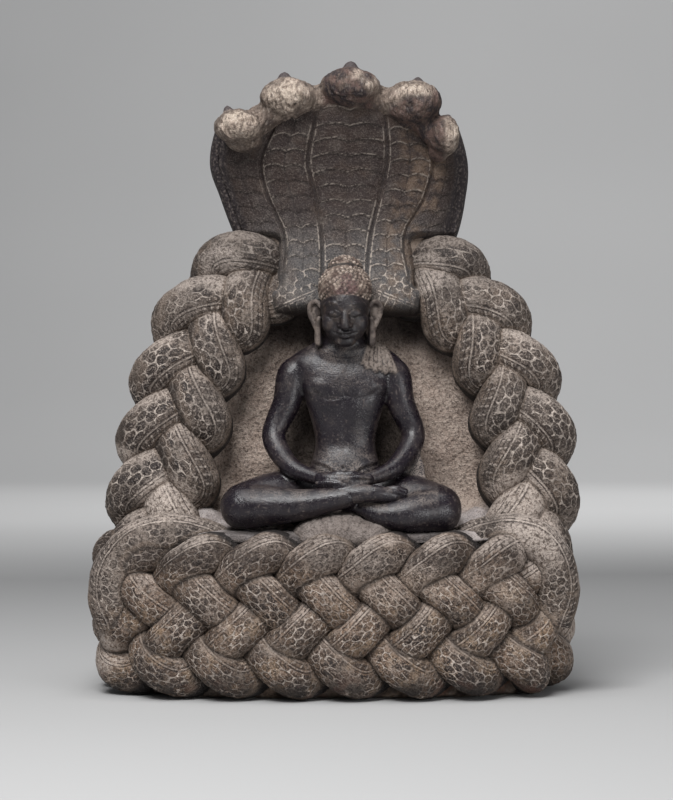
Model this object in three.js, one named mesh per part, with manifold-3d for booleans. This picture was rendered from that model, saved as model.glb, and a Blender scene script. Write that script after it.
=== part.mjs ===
// A seated figure sheltered by a five-headed serpent, carved from one block of stone.
// The serpent's body is plaited: five strands wrap the front of the seat and three strands
// climb each side of the niche, up to the hood of five necks that leans over the figure.
// Millimetres, +Z up, the figure faces -Y, and x = y = z = 0 is the middle of the underside.
import * as THREE from "three";
import { ParametricGeometry } from "three/addons/geometries/ParametricGeometry.js";
import { mergeVertices } from "three/addons/utils/BufferGeometryUtils.js";
import Module from "manifold-3d";

// The seat block and the plait of five strands round its front and sides
const SEAT_HALF_WIDTH = 233; // out to the surface of the plait
const SEAT_FRONT = 112; // from the middle plane to the front of the plait
const SEAT_BACK = 90; // from the middle plane to the flat back
const SEAT_HEIGHT = 156; // top of the plait
const SEAT_SHOULDER = 25; // the plan's widest line, behind the middle plane
const SEAT_SQUARENESS = 3.1; // power of the plan curve: 2 is an ellipse, more is squarer
const SEAT_RISE = 30; // the ground climbs this much from the figure's knees to the niche wall
const GROUND_DROP = 2; // the ground lies this far below the top of the plait
const CORE_INSET = 15; // the block stands this far inside the surface of its plait

// The strands: how wide, how far they weave in and out, and how far apart the lobes lie
const SEAT_PLAIT = { strands: 5, radius: 21, weave: 10, pitch: 56, lead: 18.7 };
const ARCH_PLAIT = { strands: 3, radius: 22, weave: 11, pitch: 57.5 };
const TURN = 0.93; // roundness of a strand's turns at the plait's edges, below 1

// The arch round the niche. Each side is a curve from the seat up to behind the hood.
const ARCH_FOOT = SEAT_HEIGHT - 3; // the height of the arch is measured from here
const ARCH_RISE = 250;
const ARCH_TAIL = 62; // each side runs on down into the seat by this much
const TAIL_DIVE = 52; // and its end is this far inside the seat
const ARCH_SPLAY = 14; // degrees that the plait's face turns outwards
const ARCH_FRONT = -6; // the middle of the plait, at its foot
const ARCH_LEAN = 14; // further back at the top
const TOP_DIVE = 34; // the strands' last stretch sinks back by this much, into the hood
const TOP_STRETCH = 34;
// inset: how far inside the seat's width the plait's outer lobes stand at the foot. lean: how
// much of the half width is lost by the top. peak and power: where and how sharply the side turns
// in to the apex. lead: where along it the lobes start. reach: from its middle to the strands'
// outermost lines. share: how much of it is carved before it sinks into the hood.
const LEFT = { side: -1, inset: 4, lean: 0.28, peak: 1.06, power: 6, lead: 44, reach: 33, share: 0.9 };
const RIGHT = { side: 1, inset: -6, lean: 0, peak: 1.09, power: 2.6, lead: 46, reach: 28, share: 0.84 };
// From the block's middle to the middle of the plait at its foot
const archHalf = ({ inset, reach }) => SEAT_HALF_WIDTH - inset - reach - ARCH_PLAIT.radius;
const NICHE_WALL = 22; // the pecked ground behind the figure
const BACK = 84; // the back of the slab
const SLAB_FRONT = 2; // the slab's face under the plait
const SLAB_MARGIN = 12; // the slab stops this far inside the outline of the plait
const NICHE_MARGIN = 12; // and the niche is cut this far under the plait's inner lobes
const SLAB_ROUND = 12; // rounding of the slab's edges

// The hood of five necks, with heights from the top of the seat. Six seams bound the necks: each
// row gives the places across of the seams at one height, from the edge on the figure's right
// hand to the edge on its left.
const HOOD_ROWS = [
  { height: 194, seams: [-56, -50, -12, 32, 72, 78] },
  { height: 234, seams: [-66, -49, -10, 32, 74, 92] },
  { height: 280, seams: [-94, -47, -11, 36, 69, 118] },
  { height: 319, seams: [-109, -63, -17, 45, 89, 126] },
  { height: 352, seams: [-116, -69, -24, 52, 96, 126] },
  { height: 389, seams: [-106, -54, -17, 50, 88, 113] },
  { height: 424, seams: [-90, -46, -10, 42, 78, 96] },
];
const HOOD_FOOT = 190;
const NECK_TOP = [390, 414, 428, 412, 380]; // where the middle of each neck ends
const NECK_STEP = 6; // the outer necks lie this far behind the middle one
const SEAM_DEPTH = 9; // the grooves between the necks
const HOOD_FRONT = { foot: -36, middle: -12, top: -42 }; // it leans out over the figure
const HOOD_BACK = { middle: 58, top: 24 };
const HOOD_RIM = [14, 16]; // the hood's edges thin by this much in front and at the back
const HOOD_END = 0.07; // share of the height that is rounded at the foot and at the top

// Each head: its middle across and up, its half sizes, and the knob on top as [aside, radius]
const HEAD_BACK = -34;
const HEADS = [
  { across: -92, up: 382, half: [23, 30, 16], knob: [-9, 5] },
  { across: -40, up: 410, half: [28, 33, 18], knob: [-1, 6] },
  { across: 16, up: 419, half: [30, 36, 20], knob: [-1, 7] },
  { across: 75, up: 404, half: [27, 33, 20], knob: [4, 6] },
  { across: 112, up: 372, half: [14, 28, 22], knob: [2, 4] },
];

// The seated figure, in hundredths of its own height from the seat to the crown of the head
const AXIS = 11; // the figure sits this far to the right of the block's middle
const FIGURE_HEIGHT = 258;
const FIGURE_SEAT = SEAT_HEIGHT - 1; // where that height is measured from

const wasm = await Module();
wasm.setup();

// A closed mesh as a solid, and the other way round
function solidOf(geometry) {
  const bare = geometry.clone();
  bare.deleteAttribute("normal");
  bare.deleteAttribute("uv");
  const merged = mergeVertices(bare, 1e-4);
  const make = (triVerts) =>
    new wasm.Manifold(
      new wasm.Mesh({
        numProp: 3,
        vertProperties: merged.attributes.position.array,
        triVerts,
      }),
    );
  const corners = new Uint32Array(merged.index.array);
  const solid = make(corners);
  return solid.volume() > 0 ? solid : make(corners.reverse());
}

function geometryOf(solid) {
  const { vertProperties, triVerts } = solid.getMesh();
  const geometry = new THREE.BufferGeometry();
  geometry.setAttribute("position", new THREE.BufferAttribute(vertProperties, 3));
  geometry.setIndex(new THREE.BufferAttribute(triVerts, 1));
  geometry.computeVertexNormals();
  return geometry;
}

const union = (solids) => solids.reduce((whole, next) => whole.add(next));
const { clamp, lerp, degToRad } = THREE.MathUtils;
const smooth = (t) => clamp(t, 0, 1) ** 2 * (3 - 2 * clamp(t, 0, 1));

// A stack of rings, closed at both ends by a point. ring(v) places a ring at v from 0 to 1: its
// middle, its two half axes as vectors, and how far it is open. More of a ring's corners lie
// towards the second axis when bias is above 0, and its sides are flatter when square is below 1.
function stack(ring, sides, rings, { bias = 0, square = 1 } = {}) {
  const bend = (value) => Math.sign(value) * Math.abs(value) ** square;
  const place = (u, v, target) => {
    const { middle, first, second, open } = ring(v);
    const turn = 2 * Math.PI * u + bias * Math.cos(2 * Math.PI * u);
    target
      .copy(middle)
      .addScaledVector(first, open * bend(Math.cos(turn)))
      .addScaledVector(second, open * bend(Math.sin(turn)));
  };
  return solidOf(new ParametricGeometry(place, sides, rings));
}

// The first and last rings of such a stack close it flat. The others share out 0 to 1.
const between = (v, rings) => clamp((v * rings - 1) / (rings - 2), 0, 1);
const flatEnds = (v) => (v > 0 && v < 1 ? 1 : 0);

const CAP_RINGS = 2; // rings in each rounded end of a limb

// A limb through stops of [x, y, z, radius], with round ends, flattened from front to back
function limb(stops, { sides = 7, rings = 4, flat = 1 } = {}) {
  const curve = new THREE.CatmullRomCurve3(
    stops.map(([x, y, z]) => new THREE.Vector3(x, y, z)),
    false,
    "centripetal",
  );
  const last = stops.length - 1;
  const whole = rings + 2 * CAP_RINGS;
  const ring = (v) => {
    const row = Math.round(v * whole);
    const t = clamp((row - CAP_RINGS) / rings, 0, 1);
    const pastEnd = Math.max(CAP_RINGS - row, row - CAP_RINGS - rings, 0) / CAP_RINGS;
    const angle = (Math.PI / 2) * pastEnd;
    const i = Math.min(Math.floor(t * last), last - 1);
    const radius = lerp(stops[i][3], stops[i + 1][3], t * last - i);
    const along = curve.getTangent(t);
    const across = new THREE.Vector3(0, -1, 0).cross(along).normalize();
    const front = along.clone().cross(across);
    const outwards = row < CAP_RINGS ? -1 : 1;
    return {
      middle: curve.getPoint(t).addScaledVector(along, outwards * radius * Math.sin(angle)),
      first: across.multiplyScalar(radius),
      second: front.multiplyScalar(radius * flat),
      open: row > 0 && row < whole ? Math.cos(angle) : 0,
    };
  };
  return stack(ring, sides, whole);
}

// A ball or egg
function egg([x, y, z], [hx, hy, hz], sides = 10, rings = 7) {
  const geometry = new THREE.SphereGeometry(1, sides, rings);
  return solidOf(geometry.rotateX(Math.PI / 2).scale(hx, hy, hz).translate(x, y, z));
}

// Where a strand lies across its plait: a zigzag from 1 at one edge to -1 at the other
const zigzag = (phase) => Math.asin(TURN * Math.cos(phase)) / Math.asin(TURN);

// The strands of one plait. route(s) gives the plait's middle line at s millimetres along it.
// Every strand goes over the first neighbour that it meets on leaving an edge, under the next,
// and so on, so there is one crossing fewer in each pass than there are strands.
function plait({ route, length, strands, radius, weave, pitch, lead, reach, sides, step }) {
  const period = strands * pitch;
  const firstLobe = Math.PI / (2 * (strands - 1));
  const line = (s, strand) => {
    const phase = (2 * Math.PI * (s - lead)) / period + firstLobe + (2 * Math.PI * strand) / strands;
    const { point, across, out } = route(s);
    return point
      .addScaledVector(across, reach * zigzag(phase))
      .addScaledVector(out, weave * Math.sin((strands - 1) * phase));
  };
  const rings = Math.round(length / step) + 2;
  return Array.from({ length: strands }, (_, strand) => {
    const ring = (v) => {
      const s = length * between(v, rings);
      const along = line(s + 1, strand).sub(line(s - 1, strand)).normalize();
      const first = route(s).out.clone().cross(along).normalize();
      const second = along.clone().cross(first);
      return {
        middle: line(s, strand),
        first: first.multiplyScalar(radius),
        second: second.multiplyScalar(radius),
        open: flatEnds(v),
      };
    };
    return stack(ring, sides, rings, { bias: 0.3 });
  });
}

// The plan of the seat, as a superellipse that runs into straight sides at the back
function planPoint(turn, inset) {
  const power = 2 / SEAT_SQUARENESS;
  const wide = SEAT_HALF_WIDTH - inset;
  const deep = SEAT_FRONT + SEAT_SHOULDER - inset;
  const share = (value) => Math.sign(value) * Math.abs(value) ** power;
  return new THREE.Vector2(
    wide * share(Math.cos(turn)),
    SEAT_SHOULDER - deep * share(Math.sin(turn)),
  );
}

function planOutline(inset, back, count) {
  const front = Array.from({ length: count + 1 }, (_, i) => planPoint((Math.PI * i) / count, inset));
  const side = front[0].x;
  return [new THREE.Vector2(side, back), ...front, new THREE.Vector2(-side, back)];
}

function seatPlait() {
  const inset = SEAT_PLAIT.radius + SEAT_PLAIT.weave;
  const outline = planOutline(inset, SEAT_BACK - 2 * inset, 48);
  // At the back corners the strands turn into the block
  const corner = SEAT_HALF_WIDTH - 2 * inset;
  outline.unshift(new THREE.Vector2(corner, SEAT_BACK - inset));
  outline.push(new THREE.Vector2(-corner, SEAT_BACK - inset));
  const curve = new THREE.CatmullRomCurve3(
    outline.map((p) => new THREE.Vector3(p.x, p.y, SEAT_HEIGHT / 2 + 1)),
    false,
    "centripetal",
  );
  curve.arcLengthDivisions = 600;
  const length = curve.getLength();
  const route = (s) => {
    const share = clamp(s / length, 0, 1);
    const along = curve.getTangentAt(share);
    const across = new THREE.Vector3(0, 0, 1);
    return { point: curve.getPointAt(share), across, out: along.clone().cross(across).negate() };
  };
  const lead = length / 2 + SEAT_PLAIT.lead;
  const reach = SEAT_HEIGHT / 2 - SEAT_PLAIT.radius;
  return plait({ ...SEAT_PLAIT, route, length, lead, reach, sides: 7, step: 18 });
}

// One side of the arch, from inside the seat up towards the apex
class ArchSide extends THREE.Curve {
  constructor({ side, inset, reach, lean, peak, power }) {
    super();
    Object.assign(this, { side, half: archHalf({ inset, reach }), lean, peak, power });
  }
  getPoint(w, target = new THREE.Vector3()) {
    const tail = ARCH_TAIL / ARCH_RISE;
    const climb = (this.peak + tail) * Math.sin((Math.PI / 2) * w) - tail;
    const above = Math.max(0, climb);
    const dive = TAIL_DIVE * (Math.min(0, climb) / tail) ** 2;
    const narrowing = Math.sqrt(Math.max(0, 1 - (above / this.peak) ** this.power));
    const reach = this.half * (1 - this.lean * climb) * narrowing - dive;
    return target.set(this.side * reach, ARCH_FRONT + ARCH_LEAN * climb, ARCH_FOOT + ARCH_RISE * climb);
  }
  // The parameter at which the side leaves the seat
  get foot() {
    const tail = ARCH_TAIL / ARCH_RISE;
    return (2 / Math.PI) * Math.asin(tail / (this.peak + tail));
  }
}

function archPlait(shape) {
  const curve = new ArchSide(shape);
  curve.arcLengthDivisions = 400;
  const lengths = curve.getLengths();
  const whole = curve.getLength();
  const length = whole * shape.share;
  const splay = degToRad(ARCH_SPLAY);
  const route = (s) => {
    const share = clamp(s / whole, 0, 1);
    const along = curve.getTangentAt(share);
    const side = new THREE.Vector3(0, -1, 0).cross(along).multiplyScalar(-shape.side).normalize();
    const out = new THREE.Vector3(0, -Math.cos(splay), 0).addScaledVector(side, Math.sin(splay));
    const across = out.clone().cross(along).multiplyScalar(-shape.side).normalize();
    const point = curve.getPointAt(share);
    point.y += TOP_DIVE * smooth((s - length + TOP_STRETCH) / TOP_STRETCH);
    return { point, across, out };
  };
  const lead = shape.lead + lengths[Math.round(curve.foot * (lengths.length - 1))];
  return plait({ ...ARCH_PLAIT, ...shape, route, length, lead, sides: 7, step: 16.5 });
}

// The outline in X and Z of everything within a distance of the middle of the arch's plait,
// outwards where the distance is positive, closed by straight lines down into the seat
function archOutline(distance) {
  const edge = (shape) => {
    const curve = new ArchSide(shape);
    const lane = shape.reach + ARCH_PLAIT.radius;
    const count = 12;
    return Array.from({ length: count }, (_, i) => {
      const w = lerp(curve.foot, 0.98, i / (count - 1));
      const p = curve.getPoint(w);
      const along = curve.getTangent(w);
      const out = new THREE.Vector2(along.z, -along.x).multiplyScalar(shape.side).normalize();
      return new THREE.Vector2(p.x, p.z).addScaledVector(out, distance(lane));
    });
  };
  const top = [...edge(RIGHT), ...edge(LEFT).reverse()];
  const footOf = (point) => new THREE.Vector2(point.x, SEAT_HEIGHT / 2);
  return new THREE.Shape([footOf(top[0]), ...top, footOf(top[top.length - 1])]);
}

// The slab that carries the arch, with the niche cut into its face
function slab() {
  const body = new THREE.ExtrudeGeometry(
    archOutline((lane) => lane - SLAB_MARGIN - SLAB_ROUND),
    {
      depth: BACK - SLAB_FRONT - 2 * SLAB_ROUND,
      bevelThickness: SLAB_ROUND,
      bevelSize: SLAB_ROUND,
      bevelSegments: 1,
    },
  );
  const niche = new THREE.ExtrudeGeometry(
    archOutline((lane) => NICHE_MARGIN - lane),
    { depth: BACK, bevelEnabled: false },
  );
  // The outline's plane is X and Z here, and its depth runs back
  body.rotateX(Math.PI / 2).translate(0, BACK - SLAB_ROUND, 0);
  niche.rotateX(Math.PI / 2).translate(0, NICHE_WALL, 0);
  return solidOf(body).subtract(solidOf(niche));
}

// The block under the figure, and the ground that climbs from it to the niche wall
function seatBlock() {
  const outline = planOutline(CORE_INSET + SLAB_ROUND, SEAT_BACK - SLAB_ROUND, 16);
  const depth = SEAT_HEIGHT - 2 * SLAB_ROUND - GROUND_DROP;
  const block = new THREE.ExtrudeGeometry(new THREE.Shape(outline), {
    depth,
    bevelThickness: SLAB_ROUND,
    bevelSize: SLAB_ROUND,
    bevelSegments: 1,
  });
  return solidOf(block.translate(0, 0, SLAB_ROUND));
}

function seatGround() {
  const front = -SEAT_FRONT + SEAT_PLAIT.radius + SEAT_PLAIT.weave;
  const top = SEAT_HEIGHT - GROUND_DROP;
  const profile = new THREE.Shape([
    new THREE.Vector2(front, top - SLAB_ROUND),
    new THREE.Vector2(NICHE_WALL + SLAB_ROUND, top - SLAB_ROUND),
    new THREE.Vector2(NICHE_WALL + SLAB_ROUND, top + SEAT_RISE),
    new THREE.Vector2(NICHE_WALL, top + SEAT_RISE),
    new THREE.Vector2(NICHE_WALL - 10, top + SEAT_RISE * 0.7),
    new THREE.Vector2(NICHE_WALL - 44, top + SEAT_RISE * 0.3),
    new THREE.Vector2(front, top),
  ]);
  const half = Math.min(archHalf(LEFT), archHalf(RIGHT)) - LEFT.reach;
  const wedge = new THREE.ExtrudeGeometry(profile, { depth: 2 * half, bevelEnabled: false });
  // The profile's plane is Y and Z, and the wedge runs across in X
  const turn = new THREE.Matrix4().makeBasis(
    new THREE.Vector3(0, 1, 0),
    new THREE.Vector3(0, 0, 1),
    new THREE.Vector3(1, 0, 0),
  );
  return solidOf(wedge.applyMatrix4(turn).translate(-half, 0, 0));
}

// The hood's front and back faces, seen from the side, at a height
const hoodShare = (z) => (z - HOOD_FOOT) / (Math.max(...NECK_TOP) - HOOD_FOOT);
const hoodFront = (z) =>
  hoodShare(z) < 0.5
    ? lerp(HOOD_FRONT.foot, HOOD_FRONT.middle, smooth(hoodShare(z) / 0.4))
    : lerp(HOOD_FRONT.middle, HOOD_FRONT.top, smooth((hoodShare(z) - 0.5) / 0.5));
const hoodBack = (z) => lerp(HOOD_BACK.middle, HOOD_BACK.top, smooth((hoodShare(z) - 0.55) / 0.45));

// The place across of a line up the hood at a height. Seams are the whole numbers from 0 to 5,
// and everything between two of them is one neck.
const necks = NECK_TOP.length;
const seamLines = Array.from({ length: necks + 1 }, (_, number) =>
  new THREE.SplineCurve(HOOD_ROWS.map(({ height, seams }) => new THREE.Vector2(seams[number], height))),
);
function seamPlace(number, z) {
  const last = HOOD_ROWS.length - 1;
  const above = clamp(HOOD_ROWS.filter(({ height }) => height <= z).length, 1, last);
  const { height: low } = HOOD_ROWS[above - 1];
  const { height: high } = HOOD_ROWS[above];
  return seamLines[number].getPoint((above - 1 + clamp((z - low) / (high - low), 0, 1)) / last).x;
}

// One sheet of stone: a ring runs across the front, over every neck, and returns at the back
function hood() {
  const acrossEach = 4; // segments in the width of a neck
  const row = necks * acrossEach + 1; // corners in the front half of a ring, and in the back half
  const rings = 12;
  const place = (u, v, target) => {
    const corner = Math.round(u * 2 * row) % (2 * row);
    const isFront = corner < row;
    const line = (isFront ? corner : 2 * row - 1 - corner) / acrossEach;
    const neck = Math.min(Math.floor(line), necks - 1);
    const within = line - neck;
    const top = new THREE.SplineCurve(NECK_TOP.map((z, i) => new THREE.Vector2(i, z)));
    const highest = top.getPoint(clamp((line - 0.5) / (necks - 1), 0, 1)).y;
    const rise = (1 - Math.cos(Math.PI * v)) / 2;
    const z = lerp(HOOD_FOOT, highest, rise);
    const x = lerp(seamPlace(neck, z), seamPlace(neck + 1, z), within);
    const outer = Math.abs((2 * line) / necks - 1);
    const front =
      hoodFront(z) +
      NECK_STEP * outer ** 2 +
      SEAM_DEPTH * (2 * within - 1) ** 4 +
      HOOD_RIM[0] * outer ** 8;
    const back = hoodBack(z) - HOOD_RIM[1] * outer ** 4;
    const near = Math.min(1, rise / HOOD_END, (1 - rise) / HOOD_END);
    const half = ((back - front) / 2) * Math.sqrt(1 - (1 - near) ** 2);
    target.set(x, (front + back) / 2 + (isFront ? -half : half), SEAT_HEIGHT + z);
  };
  return solidOf(new ParametricGeometry(place, 2 * row, rings));
}

function head({ across, up, half, knob: [aside, radius] }) {
  const middle = SEAT_HEIGHT + up;
  const skull = egg([across, HEAD_BACK, middle], half, 9, 6);
  const top = middle + half[2] * 0.92;
  const knob = egg([across + aside, HEAD_BACK, top], [radius, radius, radius * 1.1], 6, 3);
  return [skull, knob];
}

// A stop on the figure: across, back and up in hundredths of its height, with an optional radius
const unit = FIGURE_HEIGHT / 100;
const at = (x, y, z, r) => {
  const place = [AXIS + x * unit, y * unit, FIGURE_SEAT + z * unit];
  return r === undefined ? place : [...place, r * unit];
};
const size = (...halves) => halves.map((h) => h * unit);

// The trunk: height, half width, half depth and place back of each level, hips to neck
const TRUNK = [
  [4, 17, 10, -8],
  [15, 15.8, 9.4, -7],
  [23, 13.6, 9.6, -7],
  [31, 11.4, 7.8, -6.5],
  [39, 12.8, 8.2, -6.5],
  [47, 15, 9.2, -7],
  [55, 17.6, 9.2, -7],
  [59.5, 19.6, 7.6, -6.5],
  [62.6, 15.6, 6.4, -6.5],
  [65, 9, 5.8, -8],
  [70, 6.8, 5.8, -11],
];

function trunk() {
  const last = TRUNK.length - 1;
  const rings = last + 2;
  const ring = (v) => {
    const along = between(v, rings) * last;
    const i = Math.min(Math.floor(along + 1e-6), last - 1);
    const [z, wide, deep, y] = TRUNK[i].map((low, k) => lerp(low, TRUNK[i + 1][k], along - i));
    return {
      middle: new THREE.Vector3(...at(0.3, y, z)),
      first: new THREE.Vector3(wide * unit, 0, 0),
      second: new THREE.Vector3(0, -deep * unit, 0),
      open: flatEnds(v),
    };
  };
  return stack(ring, 12, rings, { bias: 0.25, square: 0.85 });
}

function arm(side, shoulder, elbow, wrist) {
  const stops = [
    at(side * shoulder, -6.5, 56.6, 6.2),
    at(side * (shoulder + 3.4), -7, 46.5, 5.5),
    at(side * elbow, -8.5, 35.5, 4.6),
    at(side * (elbow - 5.4), -18, 26, 4.7),
    at(side * wrist, -26.5, 19.6, 3.1),
  ];
  return limb(stops, { rings: 8 });
}

function figureHead() {
  const face = egg(at(0.3, -16, 80.5), size(10.1, 11.2, 13.6), 10, 8);
  const jaw = egg(at(0.3, -20.5, 72.5), size(6.8, 6.4, 5.6), 8, 5);
  const nose = limb([at(0.3, -26, 84.5, 1), at(0.3, -27.6, 79.4, 1.9)], { sides: 5, rings: 1 });
  const mouth = egg(at(0.3, -25, 74.2), size(3.4, 1.8, 1.4), 6, 4);
  const hair = egg(at(0.3, -13.4, 87.4), size(11.6, 11.8, 9.2), 10, 6);
  const crown = egg(at(0.3, -12.6, 94.4), size(6.6, 6.8, 5.8), 8, 5);
  const neck = limb([at(0.3, -14.5, 77, 6), at(0.3, -10, 64, 7.4)], { rings: 2 });
  const ears = [-1, 1].map((side) =>
    limb(
      [
        at(0.3 + side * 11, -12.8, 84.5, 2),
        at(0.3 + side * 12.2, -13, 77.5, 2.1),
        at(0.3 + side * 11.2, -14, 69.4, 1.9),
      ],
      { sides: 5, rings: 2 },
    ),
  );
  return [face, jaw, nose, mouth, hair, crown, neck, ...ears];
}

function legs() {
  const upper = [
    limb([at(-9, -7, 14, 9), at(-24, -13, 13, 9), at(-36.8, -20.5, 9.4, 8.4)], { rings: 4 }),
    limb([at(-37, -22, 8.8, 8.4), at(-20, -27, 9.6, 7.2), at(2, -30, 14, 3.9)], { rings: 5 }),
    limb([at(2, -30, 14, 3.8), at(11, -30, 14.4, 3.6), at(20, -28, 13, 2.7)], { rings: 3, flat: 0.8 }),
  ];
  const lower = [
    limb([at(9, -7, 13, 9), at(23, -13, 11.8, 9), at(34.4, -20, 8.6, 8.6)], { rings: 4 }),
    limb([at(34.6, -22, 7.8, 8.4), at(18, -28, 6.6, 6.4), at(-4, -30, 6.8, 4.6)], { rings: 5 }),
  ];
  return [...upper, ...lower];
}

function hands() {
  const under = limb([at(9, -27, 18.6, 3), at(0, -30.5, 17, 3.6), at(-9, -29.5, 17.2, 2)], {
    rings: 4,
    flat: 1.3,
  });
  const over = limb([at(-8, -27, 19.4, 3), at(1, -30, 18.8, 3.4), at(9, -29, 19.4, 1.9)], {
    rings: 4,
    flat: 1.3,
  });
  return [under, over];
}

// The end of the robe, laid over the shoulder on the figure's left
const sash = () =>
  limb([at(8.5, -11, 66, 3.2), at(12.6, -14.6, 61, 3.8), at(15, -15.8, 55.6, 3.2)], {
    sides: 6,
    rings: 3,
    flat: 0.6,
  });

const figure = () => [
  trunk(),
  ...figureHead(),
  arm(-1, 19.2, 27, 8),
  arm(1, 19.8, 29.6, 9.6),
  ...legs(),
  ...hands(),
  sash(),
];

// Everything below the underside is cut away, so that the stone stands flat
function belowGround() {
  const width = 4 * SEAT_HALF_WIDTH;
  const box = new THREE.BoxGeometry(width, width, SEAT_HEIGHT);
  return solidOf(box.translate(0, 0, -SEAT_HEIGHT / 2));
}

const joined = union([
  seatBlock(),
  seatGround(),
  slab(),
  ...seatPlait(),
  ...archPlait(LEFT),
  ...archPlait(RIGHT),
  hood(),
  ...HEADS.flatMap(head),
  ...figure(),
]).subtract(belowGround());
// Pockets closed in between the strands are solid stone: only the outer skin is kept
const stone = joined.decompose().reduce((most, next) => (next.volume() > most.volume() ? next : most));

const material = new THREE.MeshStandardMaterial({
  name: "carved_stone",
  color: new THREE.Color(0.36, 0.31, 0.26),
  roughness: 0.75,
  metalness: 0,
});
const statue = new THREE.Mesh(geometryOf(stone), material);
statue.name = "naga_buddha";

const model = new THREE.Group();
model.add(statue);
export default model;
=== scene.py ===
# %% [markdown]
# # A seated figure under a serpent's hood
# The real object is one block of stone. A serpent's plaited body makes the seat and the arch of a
# niche, its five necks spread into a hood, and a polished figure sits in the niche. The packed
# solid already has every form in its place. Here each form is carved again, finely enough for
# its scales, lines and tool marks, and each gets its own stone.

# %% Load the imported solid
import itertools
import math

import bmesh
import bpy
import numpy as np
from mathutils import Matrix, Vector


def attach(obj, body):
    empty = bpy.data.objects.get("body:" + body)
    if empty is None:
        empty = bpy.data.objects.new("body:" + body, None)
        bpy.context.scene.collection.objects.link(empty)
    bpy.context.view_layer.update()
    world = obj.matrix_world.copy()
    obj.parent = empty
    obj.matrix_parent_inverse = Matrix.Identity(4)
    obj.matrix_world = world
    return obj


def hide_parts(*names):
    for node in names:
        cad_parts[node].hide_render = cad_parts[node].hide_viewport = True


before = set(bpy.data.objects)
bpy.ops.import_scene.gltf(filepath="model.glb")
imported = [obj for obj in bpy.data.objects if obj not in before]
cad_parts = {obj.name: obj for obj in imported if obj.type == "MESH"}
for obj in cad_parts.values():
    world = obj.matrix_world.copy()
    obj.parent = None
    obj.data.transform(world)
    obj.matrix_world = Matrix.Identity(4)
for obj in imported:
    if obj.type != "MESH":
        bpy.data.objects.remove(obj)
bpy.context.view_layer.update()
MM = 0.001  # the sizes below are in millimetres, and Blender's are in metres

# %% [markdown]
# ## Camera
# The stone was photographed from straight in front, level with the figure's belly and about
# four heights away. A long lens and a small shift of the sensor give the same framing without
# tilting the camera, so upright lines stay upright.

# %% Place the camera
camera_data = bpy.data.cameras.new("camera")
camera_data.lens = 111.9
camera_data.sensor_width = 36
camera_data.sensor_fit = "AUTO"
camera_data.shift_x = -0.0244
camera_data.shift_y = -0.0275
camera = bpy.data.objects.new("camera", camera_data)
camera.location = (0.0222, -2.4, 0.3)
camera.rotation_euler = (math.radians(90), 0, 0)
bpy.context.scene.collection.objects.link(camera)
bpy.context.scene.camera = camera
print("camera", tuple(round(c, 3) for c in camera.location))

# %% [markdown]
# ## Shader maths
# A material is a network of nodes. Written node by node it is long and hard to follow, so one
# small class stands for a number that changes over the surface. Adding or multiplying two of
# them adds the Math node that does it, and the materials below read as sums. A second class is
# one material. Its colour is laid on in coats, each with a share that says where it covers.


# %% Wrap a socket so that sums on it make nodes
class Amount:
    def __init__(self, paint, socket):
        self.paint = paint
        self.socket = socket

    def math(self, operation, *others):
        sockets = dict(enumerate((self, *others)))
        return self.paint.node("Math", {"operation": operation}, sockets)

    def __add__(self, other):
        return self.math("ADD", other)

    __radd__ = __add__

    def __sub__(self, other):
        return self.math("SUBTRACT", other)

    def __rsub__(self, other):
        return self.paint.node("Math", {"operation": "SUBTRACT"}, {0: other, 1: self})

    def __mul__(self, other):
        return self.math("MULTIPLY", other)

    __rmul__ = __mul__

    def __truediv__(self, other):
        return self.math("DIVIDE", other)

    def __abs__(self):
        return self.math("ABSOLUTE")

    def larger(self, other):
        return self.math("MAXIMUM", other)

    def smaller(self, other):
        return self.math("MINIMUM", other)

    def rise(self, low, high):
        """0 below low, 1 above high and smooth between. It falls where low is above high."""
        settings = {"interpolation_type": "SMOOTHSTEP"}
        return self.paint.node("MapRange", settings, {"Value": self, "From Min": low, "From Max": high})


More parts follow.
